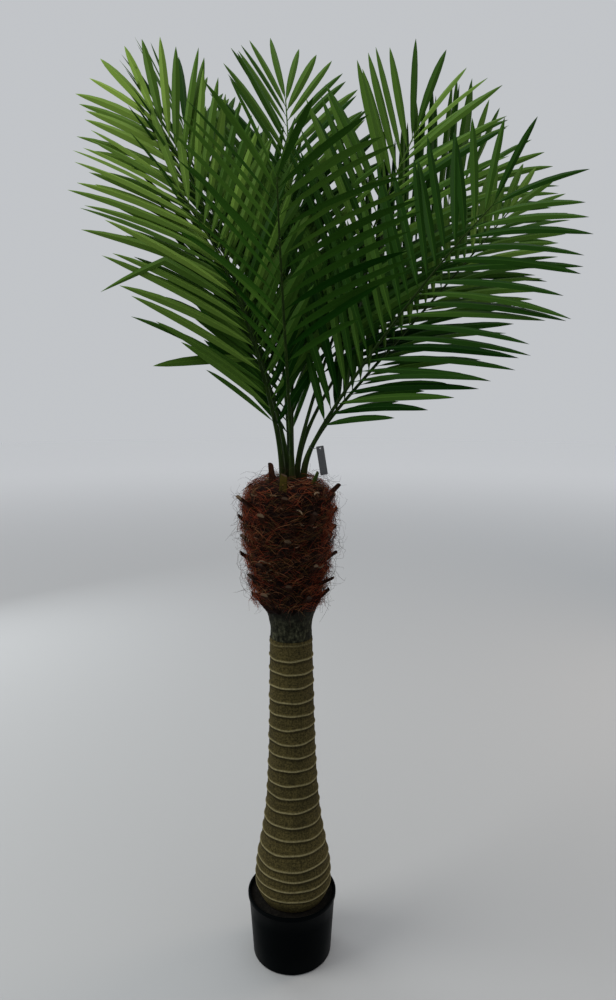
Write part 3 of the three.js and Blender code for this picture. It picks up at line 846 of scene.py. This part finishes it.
MIXES = {
    "boot_red_strands": mix("red", ("dark", 5), ("orange", 5), ("tan", 1)),
    "boot_brown_strands": mix("umber", ("dark", 9), ("olive", 4), ("red", 1), ("tan", 1)),
    "boot_hairs": mix("hair", ("red", 1)),
    "boot_chips": mix("husk", ("pale_husk", 7), ("umber", 5)),
}
LAID, TUMBLED = (0.3, 0.28, 0.95), (0.8, 0.9, 3.14)
SPRAYS = [
    ("boot_red_strands", red_ground, mat_strands, 78000.0, 5, 0.009, LAID),
    ("boot_brown_strands", brown_ground, mat_strands, 78000.0, 6, 0.009, LAID),
    ("boot_hairs", whole_ground, hair_strands, 7000.0, 9, 0.012, TUMBLED),
    ("boot_chips", whole_ground, chip_strands, 900.0, 12, 0.010, LAID),
]
for name, ground, strands, density, seed, lift, tilt in SPRAYS:
    values = {"Strands": strands, "Density": density, "Seed": seed, "Lift": lift,
              "Least tilt": tuple(-angle for angle in tilt), "Most tilt": tilt}
    tree = scatter_tree(name, MIXES[name])
    sprayed = take_result(name, ground.copy(), tree, values, ("tone", "cover"))
    place_piece(name, sprayed, ["fibre_boot"])
    print(name, "triangles:", sum(len(face.vertices) - 2 for face in sprayed.polygons))
for strands in (mat_strands, hair_strands, chip_strands):
    for strand in list(strands.objects):
        bpy.data.objects.remove(strand)
    bpy.data.collections.remove(strands)

# %% [markdown]
# ## Cut leaf bases
#
# On a living palm the old leaves are cut off and their bases stay on the trunk. Here they are moulded
# stubs, broad and hollowed at the foot, with a pale face where the cut is. One stub is modelled, with
# its cut face marked as another part, and copied to each place by the rule of the source: six rows of
# six, every other row turned by half a step, and leaning out more in the lower rows.

# %% Stub finishes
stub_bark, start = new_finish("stub_bark")
fibres = cloud(object_place(start, (1, 1, 0.3)), 420, 4, 0.6)
coat(stub_bark, {
    "Base Color": ramp(fibres, (0.35, tint(20, 10, 6)), (0.6, tint(46, 25, 15)),
                       (0.8, tint(80, 50, 30))),
    "Roughness": 0.9,
    "Specular IOR Level": 0.05,
    "Normal": relief(fibres, 0.0008, 0.8),
})
CUT_TINTS = {"pale": tint(84, 69, 52), "dim": tint(62, 47, 34), "brown": tint(44, 30, 21)}
stub_cuts = [plain_finish("stub_cut_" + name, colour, 0.85, Specular_IOR_Level=0.15)
             for name, colour in CUT_TINTS.items()]

# %% One stub
STUB_SECTION, STUB_RINGS, STUB_SHARP_FROM = 12, 7, 45
STUB_LENGTH, STUB_HALF_WIDTH, STUB_HALF_THICKNESS = 0.040, 0.0105, 0.0036
STUB_TAPER, STUB_TAPER_POWER, STUB_HOLLOW, HOLLOW_LOSS = 0.66, 0.8, 0.42, 0.4
CUT_SLANT = 0.05


def stub_rings():
    turn, _ = circle(STUB_SECTION)
    rings = []
    for share in np.linspace(0, 1, STUB_RINGS):
        width = STUB_HALF_WIDTH * (1 + (STUB_TAPER - 1) * share ** STUB_TAPER_POWER)
        thickness = STUB_HALF_THICKNESS * (1 + (STUB_TAPER - 1) * share)
        hollow = STUB_HOLLOW * width * (1 - share * HOLLOW_LOSS)
        x = width * np.cos(turn)
        y = thickness * np.sin(turn) - hollow * (np.cos(turn) ** 2 - 0.5)
        z = share + CUT_SLANT * share * np.sin(turn) - CUT_SLANT * share * np.cos(turn)
        rings.append(np.stack([x, y, z], -1))
    return np.array(rings)


stub_mesh = skin("stub", stub_rings())
stub_parts = np.zeros(len(stub_mesh.polygons), int)
stub_parts[STUB_RINGS * STUB_SECTION:] = 1
stub_mesh.set_sharp_from_angle(angle=math.radians(STUB_SHARP_FROM))
stub = marked_copy("stub", stub_mesh, stub_parts, [v.co.z for v in stub_mesh.vertices])
stub_finishes = {tone: stub_bark for tone in range(len(stub_cuts))}
stub_finishes.update({PART_STEP + tone: finish for tone, finish in enumerate(stub_cuts)})
stub_tree = planted_tree("stubs_on_points", stub_finishes)

# %% Stubs in six rows
STUB_SUNK, STUB_TILT, STUB_TILT_TOP = 0.012, 54, 40
STUB_REACH, REACH_SPREAD, GIRTH_SPREAD = 1.02, 0.2, 0.12
TURN_SPREAD, TILT_SPREAD, HEIGHT_SPREAD = 0.12, 0.2, 0.006
TONE_STEP, TONE_WRAP = 7, 11


def unit(vector):
    return vector / np.linalg.norm(vector, axis=-1, keepdims=True)


def scatter(a, b, c):
    value = np.sin(a * 12.9898 + b * 78.233 + c * 37.719) * 43758.5453
    return 2 * (value - np.floor(value)) - 1


def stub_rows():
    roots, aims, widths = [], [], []
    for row in range(STUB_ROWS):
        height = STUB_FIRST_ROW + row * STUB_ROW_PITCH
        lean = math.radians(STUB_TILT + (STUB_TILT_TOP - STUB_TILT) * row / (STUB_ROWS - 1))
        out = smooth_line(BOOT_OUTLINE, np.array([height]))[0] - STUB_SUNK
        for place in range(STUBS_PER_ROW):
            angle = (place + (row % 2) / 2) / STUBS_PER_ROW * 2 * math.pi
            angle += TURN_SPREAD * scatter(row, place, 3)
            outward = np.array([math.cos(angle), math.sin(angle), 0])
            tilt = lean + TILT_SPREAD * scatter(row, place, 1)
            raised = height + HEIGHT_SPREAD * scatter(row, place, 2)
            roots.append(outward * out + (BOOT_SHIFT, 0, raised))
            aims.append(outward * math.sin(tilt) + np.array([0, 0, math.cos(tilt)]))
            widths.append((-math.sin(angle), math.cos(angle), 0))
    return np.array(roots), np.array(aims), np.array(widths)


roots, aims, widths = stub_rows()
number = np.arange(len(roots))
stubs_mesh = planted_mesh("boot_stubs", stub_tree, roots, {
    "aim": aims, "across": widths, "half": 1 + GIRTH_SPREAD * scatter(number, 3, 5),
    "reach": STUB_LENGTH * (STUB_REACH + REACH_SPREAD * scatter(number, 4, 6)),
    "tone": number * TONE_STEP % TONE_WRAP % len(stub_cuts)}, stub)
place_piece("boot_stubs", stubs_mesh, ["fibre_boot"])

# %% [markdown]
# Three cut stalks stand on the boot's shoulder: a brown one, an olive sheath in front and a green one.

# %% Cut stalks on the shoulder
BOOT_TOP = 0.990
sheath_olive = plain_finish("sheath_olive", tint(52, 45, 12), 0.8, Specular_IOR_Level=0.04)
stub_green = plain_finish("stub_green", tint(40, 56, 16), 0.7, Specular_IOR_Level=0.04)
shoulder_finishes = dict(enumerate((stub_bark, sheath_olive, stub_green)))
shoulder_finishes.update(enumerate((stub_bark, stub_cuts[1], stub_green), PART_STEP))
shoulder_tree = planted_tree("shoulder_stubs", shoulder_finishes)
SHOULDER_STUBS = [
    (234, 0.043, 0.028, 0.016, 0.2, 0.85, 0),
    (263, 0.073, 0.014, 0.034, -0.5, 0.85, 1),
    (-28, 0.050, 0.014, 0.016, 0.45, 0.80, 2),
]
angle, out, rise, sunk, lean, girth, tone = (np.array(column) for column in zip(*SHOULDER_STUBS))
angle = np.radians(angle)
level = np.stack([np.cos(angle), np.sin(angle), 0 * angle], -1)
roots = level * out[:, None] + np.stack([0 * sunk + BOOT_SHIFT, 0 * sunk, BOOT_TOP - sunk], -1)
shoulder_mesh = planted_mesh("shoulder_stubs", shoulder_tree, roots, {
    "aim": unit(level * lean[:, None] + (0, 0, 1)),
    "across": np.stack([-np.sin(angle), np.cos(angle), 0 * angle], -1),
    "half": girth, "reach": rise + sunk, "tone": tone}, stub)
place_piece("shoulder_stubs", shoulder_mesh, ["fibre_boot"])
bpy.data.objects.remove(stub)

# %% [markdown]
# ## Fronds
#
# A frond is a rib with leaflets on both sides, and all ten follow one rule, the source's. The rib
# leaves the boot upright, leans over within a short stretch and then arches. Leaflets leave it in
# pairs at one spacing, above a bare length of stalk. They spread widest a little below the middle and
# close to the rib at its tip, fold towards the blade's face, and sag by how level they lie. The rule
# runs here on arrays, adds small differences of twist, width and shade from leaflet to leaflet, and
# hands the leaflets' points to the tree above. Two leaflets on the left break the rule, as on the real
# plant: one is bent sharply at the middle and one hangs free, so they are set singly.

# %% The ten fronds, in degrees and millimetres
INNER, OUTER = 9, 23


def frond(heading, sweep, lean, arch, roll, fold, spread, length, longest, width, bare, seat, ring):
    return dict(heading=heading, sweep=sweep, lean=lean, arch=arch, roll=roll, fold=fold, spread=spread,
                length=length / 1000, longest=longest / 1000, half=width / 2000, bare=bare,
                seat=seat, ring=ring / 1000)


FRONDS = {
    "frond_front": frond(261, 10, 20, 38, -16, 21, 56, 542, 245, 13, 0.40, 270, OUTER),
    "frond_right": frond(-14, 7, 34, 10, 69, 5, 53, 576, 256, 15, 0.185, -20, OUTER),
    "frond_upper_right": frond(36, -4, 22, 8, 47, 19, 44, 716, 300, 17, 0.28, 10, INNER),
    "frond_top": frond(86, 13, 14, 12, 9, 25, 48, 776, 246, 17, 0.25, 105, INNER),
    "frond_upper_left": frond(173, -14, 16, 19, -64, 24, 43, 704, 236, 17, 0.20, 195, INNER),
    "frond_left": frond(179, -11, 12, 26, -48, 12, 51, 546, 298, 17, 0.18, 215, OUTER),
    "frond_right_back": frond(15, 10, 44, 0, 48, 9, 42, 671, 213, 17, 0.20, 28, OUTER),
    "frond_back_left": frond(128, 12, 25, 0, 3, 22, 47, 741, 300, 17, 0.27, 142, OUTER),
    "frond_back_right": frond(48, -14, 42, 0, 64, 34, 50, 802, 300, 17, 0.30, 68, OUTER),
    "frond_back": frond(98, 15, 26, -6, -22, 34, 41, 581, 300, 17, 0.13, 104, OUTER),
}
print("fronds:", ", ".join(FRONDS))

# %% The rib's line
FROND_BEND = 0.08
RIB_STEPS = 64
RIB_FOOT, CROWN_SHIFT = 0.9903, 0.004


def rib_of(frond):
    share = np.linspace(0, 1, RIB_STEPS + 1)
    lean = np.radians(frond["lean"] * (1 - np.exp(-share / FROND_BEND)) + frond["arch"] * share ** 2)
    head = np.radians(frond["heading"] + frond["sweep"] * share)
    along = np.stack([np.sin(lean) * np.cos(head), np.sin(lean) * np.sin(head), np.cos(lean)], -1)
    seat = math.radians(frond["seat"])
    foot = np.array([frond["ring"] * math.cos(seat), frond["ring"] * math.sin(seat), RIB_FOOT])
    foot[0] += CROWN_SHIFT
    steps = (along[1:] + along[:-1]) / 2 * frond["length"] / RIB_STEPS
    point = np.vstack([foot, foot + np.cumsum(steps, 0)])
    level = np.stack([-np.sin(head), np.cos(head), 0 * head], -1)
    roll = math.radians(frond["roll"])
    side = math.cos(roll) * level + math.sin(roll) * np.cross(along, level)
    return {"share": share, "point": point, "along": along, "side": side, "face": np.cross(along, side)}


def on_rib(rib, key, share):
    return np.stack([np.interp(share, rib["share"], rib[key][:, k]) for k in range(3)], -1)


ribs = {name: rib_of(row) for name, row in FRONDS.items()}
print("highest rib tip:", round(max(rib["point"][-1][2] for rib in ribs.values()), 3), "m")

# %% The leaflets' rule
LEAFLET_SPACING, LEAFLET_STAGGER = 0.024, 0.006
SPREAD_LOSS, SPREAD_WIDEST_AT = 40, 0.4
SPREAD_TIP_DROP, SPREAD_TIP_FROM = 18, 0.85
REACH_FOOT_LOSS, REACH_FOOT_FADE = 0.38, 0.08
REACH_TIP_LOSS, REACH_TIP_FROM, REACH_TIP_POWER = 0.36, 0.5, 1.5
LEAFLET_DROOP, LEAFLET_TWIST, HALF_TIP_LOSS = 0.16, 18, 0.12
SPREAD_JITTER, REACH_JITTER, FOLD_JITTER, TWIST_JITTER = 3, 0.06, 6, 16
HALF_JITTER, BEND_JITTER, TONE_JITTER = 0.1, 0.05, 1.1
TONE_COUNT, SEED_STEP = 7, 10


def rotated(vector, axis, angle):
    turn = angle[:, None]
    return np.cos(turn) * vector + np.sin(turn) * np.cross(axis, vector)


def pairs_of(frond):
    return round(frond["length"] * (1 - frond["bare"]) / LEAFLET_SPACING) + 1


def leaflets_of(frond, rib, order, tones):
    pairs = pairs_of(frond)
    pair, hand = (grid.ravel() for grid in np.meshgrid(np.arange(pairs), [-1, 1], indexing="ij"))
    t = pair / (pairs - 1)
    share = np.minimum(frond["bare"] + (1 - frond["bare"]) * t + hand * LEAFLET_STAGGER, 1)
    at = {key: on_rib(rib, key, share) for key in ("point", "along", "side", "face")}
    jitter = {key: scatter(pair, hand, SEED_STEP * order + number) for number, key in enumerate(
        ("spread", "reach", "fold", "twist", "tone", "half", "bend"), 1)}
    tip = np.maximum(0, (t - SPREAD_TIP_FROM) / (1 - SPREAD_TIP_FROM))
    spread = np.radians(frond["spread"] - SPREAD_LOSS * (t - SPREAD_WIDEST_AT) ** 2
                        - SPREAD_TIP_DROP * tip ** 2 + SPREAD_JITTER * jitter["spread"])[:, None]
    fold = np.radians(frond["fold"] + FOLD_JITTER * jitter["fold"])[:, None]
    last = np.maximum(0, (t - REACH_TIP_FROM) / (1 - REACH_TIP_FROM))
    reach = frond["longest"] * (1 - REACH_FOOT_LOSS * np.exp(-t / REACH_FOOT_FADE))
    reach = reach * (1 - REACH_TIP_LOSS * last ** REACH_TIP_POWER)
    reach = reach * (1 + REACH_JITTER * jitter["reach"])
    aim = unit(np.cos(spread) * at["along"] + np.sin(spread) * (
        hand[:, None] * np.cos(fold) * at["side"] + np.sin(fold) * at["face"]))
    across = unit(np.cross(aim, at["face"]))
    twist = np.radians(LEAFLET_TWIST * hand + TWIST_JITTER * jitter["twist"])
    # foot, tip and hand tones are painted light; only the jitter is the leaflets' own tone
    foot_tone, tip_tone, hand_tone = tones
    tone = foot_tone + (tip_tone - foot_tone) * t + hand_tone * hand + TONE_JITTER * jitter["tone"]
    return at["point"], {
        "aim": aim, "across": rotated(across, aim, twist), "reach": reach,
        "half": frond["half"] * (1 + HALF_JITTER * jitter["half"]) * (1 - HALF_TIP_LOSS * tip),
        "sag": LEAFLET_DROOP * np.hypot(aim[:, 0], aim[:, 1]),
        "bend": BEND_JITTER * jitter["bend"], "kink": np.zeros(len(t)),
        "tone": np.clip(np.round(tone), 0, TONE_COUNT - 1).astype(int)}


print("pairs of leaflets:", {name: pairs_of(row) for name, row in FRONDS.items()})

# %% [markdown]
# A leaflet is a lance-shaped blade with a crease along its midrib, thin as card. It is modelled once:
# two halves, a narrow rib between them and an underside. Its long edges are marked sharp, so light
# breaks at the crease and each half keeps its own shade.

# %% One leaflet
BLADE_OUTLINE = [
    (0.00, 0.10), (0.05, 0.14), (0.11, 0.44), (0.23, 0.78), (0.40, 0.97), (KINK_FROM, 1.00),
    (0.74, 0.88), (0.87, 0.61), (0.95, 0.30), (1.00, 0.02),
]
BLADE_RISE, BLADE_RIB, BLADE_RIB_TIP, BLADE_THICKNESS = 0.38, 0.08, 0.35, 0.07
RIB_GROWTH, UNDER_GROWTH, LONG_EDGE_LEAST = 3, 2, 1e-6


def blade_rings():
    rings = []
    for share, width in BLADE_OUTLINE:
        rise = -BLADE_RISE * width
        rib = BLADE_RIB * (BLADE_RIB_TIP + (1 - BLADE_RIB_TIP) * (1 - share))
        rib = rib * min(1, width * RIB_GROWTH)
        under = rise + BLADE_THICKNESS * min(1, width * UNDER_GROWTH)
        rings.append([(-width, 0, share), (-rib, rise, share), (rib, rise, share), (width, 0, share),
                      (0, under, share)])
    return np.array(rings)


UPPER, MIDRIB, UNDER = 0, 1, 2
blade_mesh = skin("blade", blade_rings())
spans = len(BLADE_OUTLINE) - 1
blade_parts = [UPPER, MIDRIB, UPPER, UNDER, UNDER] * spans
blade_parts += [UNDER] * (len(blade_mesh.polygons) - len(blade_parts))
for edge in blade_mesh.edges:
    low, high = (blade_mesh.vertices[end].co.z for end in edge.vertices)
    edge.use_edge_sharp = abs(low - high) > LONG_EDGE_LEAST
blade = marked_copy("blade", blade_mesh, blade_parts, [v.co.z for v in blade_mesh.vertices])
print("faces in one leaflet:", len(blade_mesh.polygons))

# %% Leaf and stalk finishes
# Tones run from dark to light: a leaflet's tone is partly its own and partly painted light, as the
# fronds' tones give
LEAF_DARK, LEAF_LIGHT = np.array([6, 36, 0]), np.array([124, 152, 64])
MIDRIB_SHIFT, UNDER_SHIFT = np.array([16, 18, 8]), np.array([8, 10, 4])
LEAF_GLOSS = {UPPER: (0.5, 0.03), MIDRIB: (0.5, 0.03), UNDER: (0.65, 0.02)}


def leaf_tint(part, number):
    colour = LEAF_DARK + (LEAF_LIGHT - LEAF_DARK) * number / (TONE_COUNT - 1)
    return tint(*(colour + {UPPER: 0, MIDRIB: MIDRIB_SHIFT, UNDER: UNDER_SHIFT}[part]))


leaf_finishes = {}
for part, (roughness, gloss) in LEAF_GLOSS.items():
    for number in range(TONE_COUNT):
        leaf_finishes[PART_STEP * part + number] = plain_finish(
            f"leaf_{part}_{number}", leaf_tint(part, number), roughness, Specular_IOR_Level=gloss)
print("leaf finishes:", len(leaf_finishes))

stalk_green, start = new_finish("stalk_green")
streaks = cloud(object_place(start, (1, 1, 0.15)), 260, 3)
height_up = axis_of(object_place(start), "Z")
stem = ramp(streaks, (0.3, tint(14, 28, 6)), (0.6, tint(30, 48, 12)), (0.8, tint(56, 74, 26)))
# paler higher up, a painted highlight where the upper stalks catch the light
stem = blend(height_up.between(1.35, 1.65) * 0.6, stem, tint(76, 108, 36))
coat(stalk_green, {
    "Base Color": blend((1 - height_up.between(0.99, 1.05)) * 0.6, stem, tint(34, 34, 14)),
    "Roughness": 0.5 + 0.2 * streaks,
    "Specular IOR Level": 0.05,
    "Normal": relief(streaks, 0.0004, 0.6),
})
leaf_tree = planted_tree("leaflets_on_points", leaf_finishes)

# %% Stalks and leaflets of every frond
RIB_SIDES, RIB_FOOT_SHARE, RIB_SUNK = 10, 0.14, 0.012
RIB_BASE_RADIUS, RIB_FOOT_RADIUS, RIB_TIP_RADIUS = 0.0060, 0.0034, 0.0012
# Each frond's tones at foot and tip and the step between its hands are painted light: fronds facing the
# window light are lighter, the front and right-hand fronds darker, and leaflets darker towards the
# crown's shaded middle and on the inner hand
USUAL_PAINTED_LIGHT_TONES = (0.6, 2.2, 0.0)
PAINTED_LIGHT_TONES = {
    "frond_front": (0.6, 1.5, -0.2), "frond_left": (1.6, 4.5, 0.8), "frond_upper_left": (1.4, 4.9, 0.5),
    "frond_top": (1.2, 2.9, 0.0), "frond_upper_right": (1.0, 3.1, 0.0), "frond_right": (0.6, 1.8, 0.0),
    "frond_right_back": (1.2, 3.2, 0.0),
}
SINGLES = [
    ("frond_left", 9, {"kink": 0.7}),
    ("frond_left", 5, {"aim": (-0.78, -0.62, 0.03), "across": (0.0, 0.1, 1.0),
                       "reach": 0.21, "tone": 3}),
]


def rib_thickness(share):
    places = (0, RIB_FOOT_SHARE, 1)
    return np.interp(share, places, (RIB_BASE_RADIUS, RIB_FOOT_RADIUS, RIB_TIP_RADIUS))


leaflet_count = 0
for order, (name, row) in enumerate(FRONDS.items()):
    rib = ribs[name]
    line = np.vstack([rib["point"][0] - (0, 0, RIB_SUNK), rib["point"]])
    thick = np.concatenate([rib_thickness(rib["share"][:1]), rib_thickness(rib["share"])])
    stalk = tube_mesh(name + "_stalk", line, thick, RIB_SIDES, stalk_green)
    place_piece(name + "_stalk", stalk, [name])
    points, values = leaflets_of(row, rib, order, PAINTED_LIGHT_TONES.get(name, USUAL_PAINTED_LIGHT_TONES))
    for frond_name, pair, changes in SINGLES:
        if frond_name == name:
            for label, value in changes.items():
                values[label][2 * pair + 1] = value
    leaflet_count += len(points)
    leaflets = planted_mesh(name + "_leaflets", leaf_tree, points, values, blade)
    place_piece(name + "_leaflets", leaflets, [name])
bpy.data.objects.remove(blade)
print("leaflets:", leaflet_count)

# %% [markdown]
# ## Tag
#
# A blank grey card hangs from the right-hand stalk on a thin wire. Its face is one band of faces
# between its outline and the hole, so the hole is real.

# %% Tag finishes
tag_card, start = new_finish("tag_card")
fleck = cloud(object_place(start), 500, 4)
coat(tag_card, {
    "Base Color": ramp(fleck, (0.3, tint(54, 55, 57)), (0.7, tint(76, 77, 78))),
    "Roughness": 0.6,
    "Normal": relief(fleck, 0.0001, 0.5),
})
tag_wire = plain_finish("tag_wire", tint(60, 62, 60), 0.35)

# %% Card
TAG_WIDTH, TAG_HEIGHT, TAG_THICKNESS = 0.014, 0.054, 0.001
TAG_TURN = math.radians(-9)
TAG_STALK_SHARE = 0.1
TAG_HANG = np.array([0.015, -0.006, 0.003])
TAG_HOLE_DROP, TAG_HOLE_RADIUS, TAG_CORNER = 0.0045, 0.0019, 0.0015
TAG_CORNER_STEPS, TAG_SHARP_FROM = 6, 40


def card_outline():
    points = []
    for quarter, (sx, sz) in enumerate([(1, 1), (-1, 1), (-1, -1), (1, -1)]):
        for step in np.linspace(0, math.pi / 2, TAG_CORNER_STEPS):
            angle = quarter * math.pi / 2 + step
            x = sx * (TAG_WIDTH / 2 - TAG_CORNER) + TAG_CORNER * math.cos(angle)
            z = sz * (TAG_HEIGHT / 2 - TAG_CORNER) + TAG_CORNER * math.sin(angle)
            points.append((x, z - TAG_HEIGHT / 2))
    return np.array(points)


def card_rings():
    outer = card_outline()
    hole_centre = np.array([0, -TAG_HOLE_DROP])
    hole = hole_centre + TAG_HOLE_RADIUS * unit(outer - hole_centre)
    front, back = -TAG_THICKNESS / 2, TAG_THICKNESS / 2
    loops = [(outer, back), (outer, front), (hole, front), (hole, back), (outer, back)]
    return np.array([np.insert(flat, 1, depth, axis=1) for flat, depth in loops])


rib = ribs["frond_right"]
stalk_point = on_rib(rib, "point", TAG_STALK_SHARE)
stalk_along = unit(on_rib(rib, "along", TAG_STALK_SHARE))
card_top = stalk_point + TAG_HANG
rings = card_rings()
x, z = rings[..., 0].copy(), rings[..., 2].copy()
rings[..., 0] = x * math.cos(TAG_TURN) + z * math.sin(TAG_TURN)
rings[..., 2] = -x * math.sin(TAG_TURN) + z * math.cos(TAG_TURN)
card_mesh = skin("tag_card", rings + card_top, capped=False)
card_mesh.validate()
card_mesh.set_sharp_from_angle(angle=math.radians(TAG_SHARP_FROM))
place_piece("tag_card", card_mesh, ["hang_tag"], [tag_card])

# %% Wire round the stalk and through the hole
WIRE_RADIUS, WIRE_CLEARANCE, WIRE_SIDES, WIRE_STEPS = 0.0005, 0.0012, 6, 17
WIRE_HOOK = np.array([0, 0.0012, -0.001])

loop_radius = rib_thickness(TAG_STALK_SHARE) + WIRE_CLEARANCE
outward = unit(TAG_HANG - np.dot(TAG_HANG, stalk_along) * stalk_along)
sideways = np.cross(stalk_along, outward)
hole_place = card_top + (-TAG_HOLE_DROP * math.sin(TAG_TURN), 0, -TAG_HOLE_DROP * math.cos(TAG_TURN))
loop_turn = np.linspace(0, 2 * math.pi, WIRE_STEPS)[:, None]
loop = stalk_point + loop_radius * (np.cos(loop_turn) * outward + np.sin(loop_turn) * sideways)
wire_line = np.vstack([loop, hole_place - WIRE_HOOK, hole_place + WIRE_HOOK])
wire_thick = np.full(len(wire_line), WIRE_RADIUS)
wire_mesh = tube_mesh("tag_wire", wire_line, wire_thick, WIRE_SIDES, tag_wire)
place_piece("tag_wire", wire_mesh, ["hang_tag"])

# %% [markdown]
# ## Floor and light
#
# The stage is a plain floor whose colour pales outwards, painted light that lets it run into a sky of
# one colour without an edge. A large soft light above and to the left does most of the work, as a
# window would, a second one hangs overhead, and two weak ones stand behind, a warm one to the right
# and a cool one to the left.

# %% Floor
FLOOR_RADIUS, FLOOR_SIDES, FLOOR_DROP = 14.0, 96, 0.0004
floor_finish, start = new_finish("pale_floor")
away = start.node("ShaderNodeVectorMath", {"operation": "LENGTH"},
                  {0: object_place(start)}, out="Value")
coat(floor_finish, {
    # paler away from the middle: painted light that brings the far floor up to the sky's brightness
    "Base Color": blend(away.between(0.5, 9.0), tint(168, 170, 171), tint(254, 254, 254)),
    "Roughness": 0.9,
    "Specular IOR Level": 0.1,
})
_, round_line = circle(FLOOR_SIDES)
floor_line = FLOOR_RADIUS * round_line - (0, 0, FLOOR_DROP)
floor_mesh = bpy.data.meshes.new("floor")
floor_mesh.from_pydata(floor_line.tolist(), [], [list(range(FLOOR_SIDES))])
floor_mesh.materials.append(floor_finish)
floor = new_object("floor", floor_mesh)
print("floor:", 2 * FLOOR_RADIUS, "m across")

# %% Lights
SKY_TINT, SKY_STRENGTH = tint(214, 217, 221), 0.8
LIGHTS = [
    ("window", (-2.6, -0.7, 2.9), (0.0, 0.0, 1.3), 2.2, 75, (1.0, 0.98, 0.93)),
    ("ceiling", (0.3, 0.4, 3.6), (0.1, 0.0, 1.2), 2.4, 26, (0.97, 0.98, 1.0)),
    ("warm", (2.4, 1.0, 1.5), (0.1, 0.0, 1.2), 1.2, 18, (1.0, 0.8, 0.66)),
    ("rim", (-1.9, 2.0, 1.3), (0.0, 0.0, 1.0), 1.4, 16, (0.95, 0.98, 1.0)),
]
for name, place, target, size, power, colour in LIGHTS:
    lamp = bpy.data.lights.new(name, "AREA")
    lamp.shape, lamp.size, lamp.energy, lamp.color = "DISK", size, power, colour
    holder = new_object(name, lamp)
    holder.location = place
    holder.rotation_euler = (Vector(target) - Vector(place)).to_track_quat("-Z", "Y").to_euler()

sky = bpy.data.worlds.new("pale_sky")
sky.use_nodes = True
sky.node_tree.nodes["Background"].inputs["Color"].default_value = SKY_TINT
sky.node_tree.nodes["Background"].inputs["Strength"].default_value = SKY_STRENGTH
bpy.context.scene.world = sky
bpy.context.scene.view_settings.view_transform = "Standard"
print("lights:", ", ".join(f"{name} {power} W" for name, _, _, _, power, _ in LIGHTS))

# %% [markdown]
# ## Size
#
# Dressing must not change the plant's size.
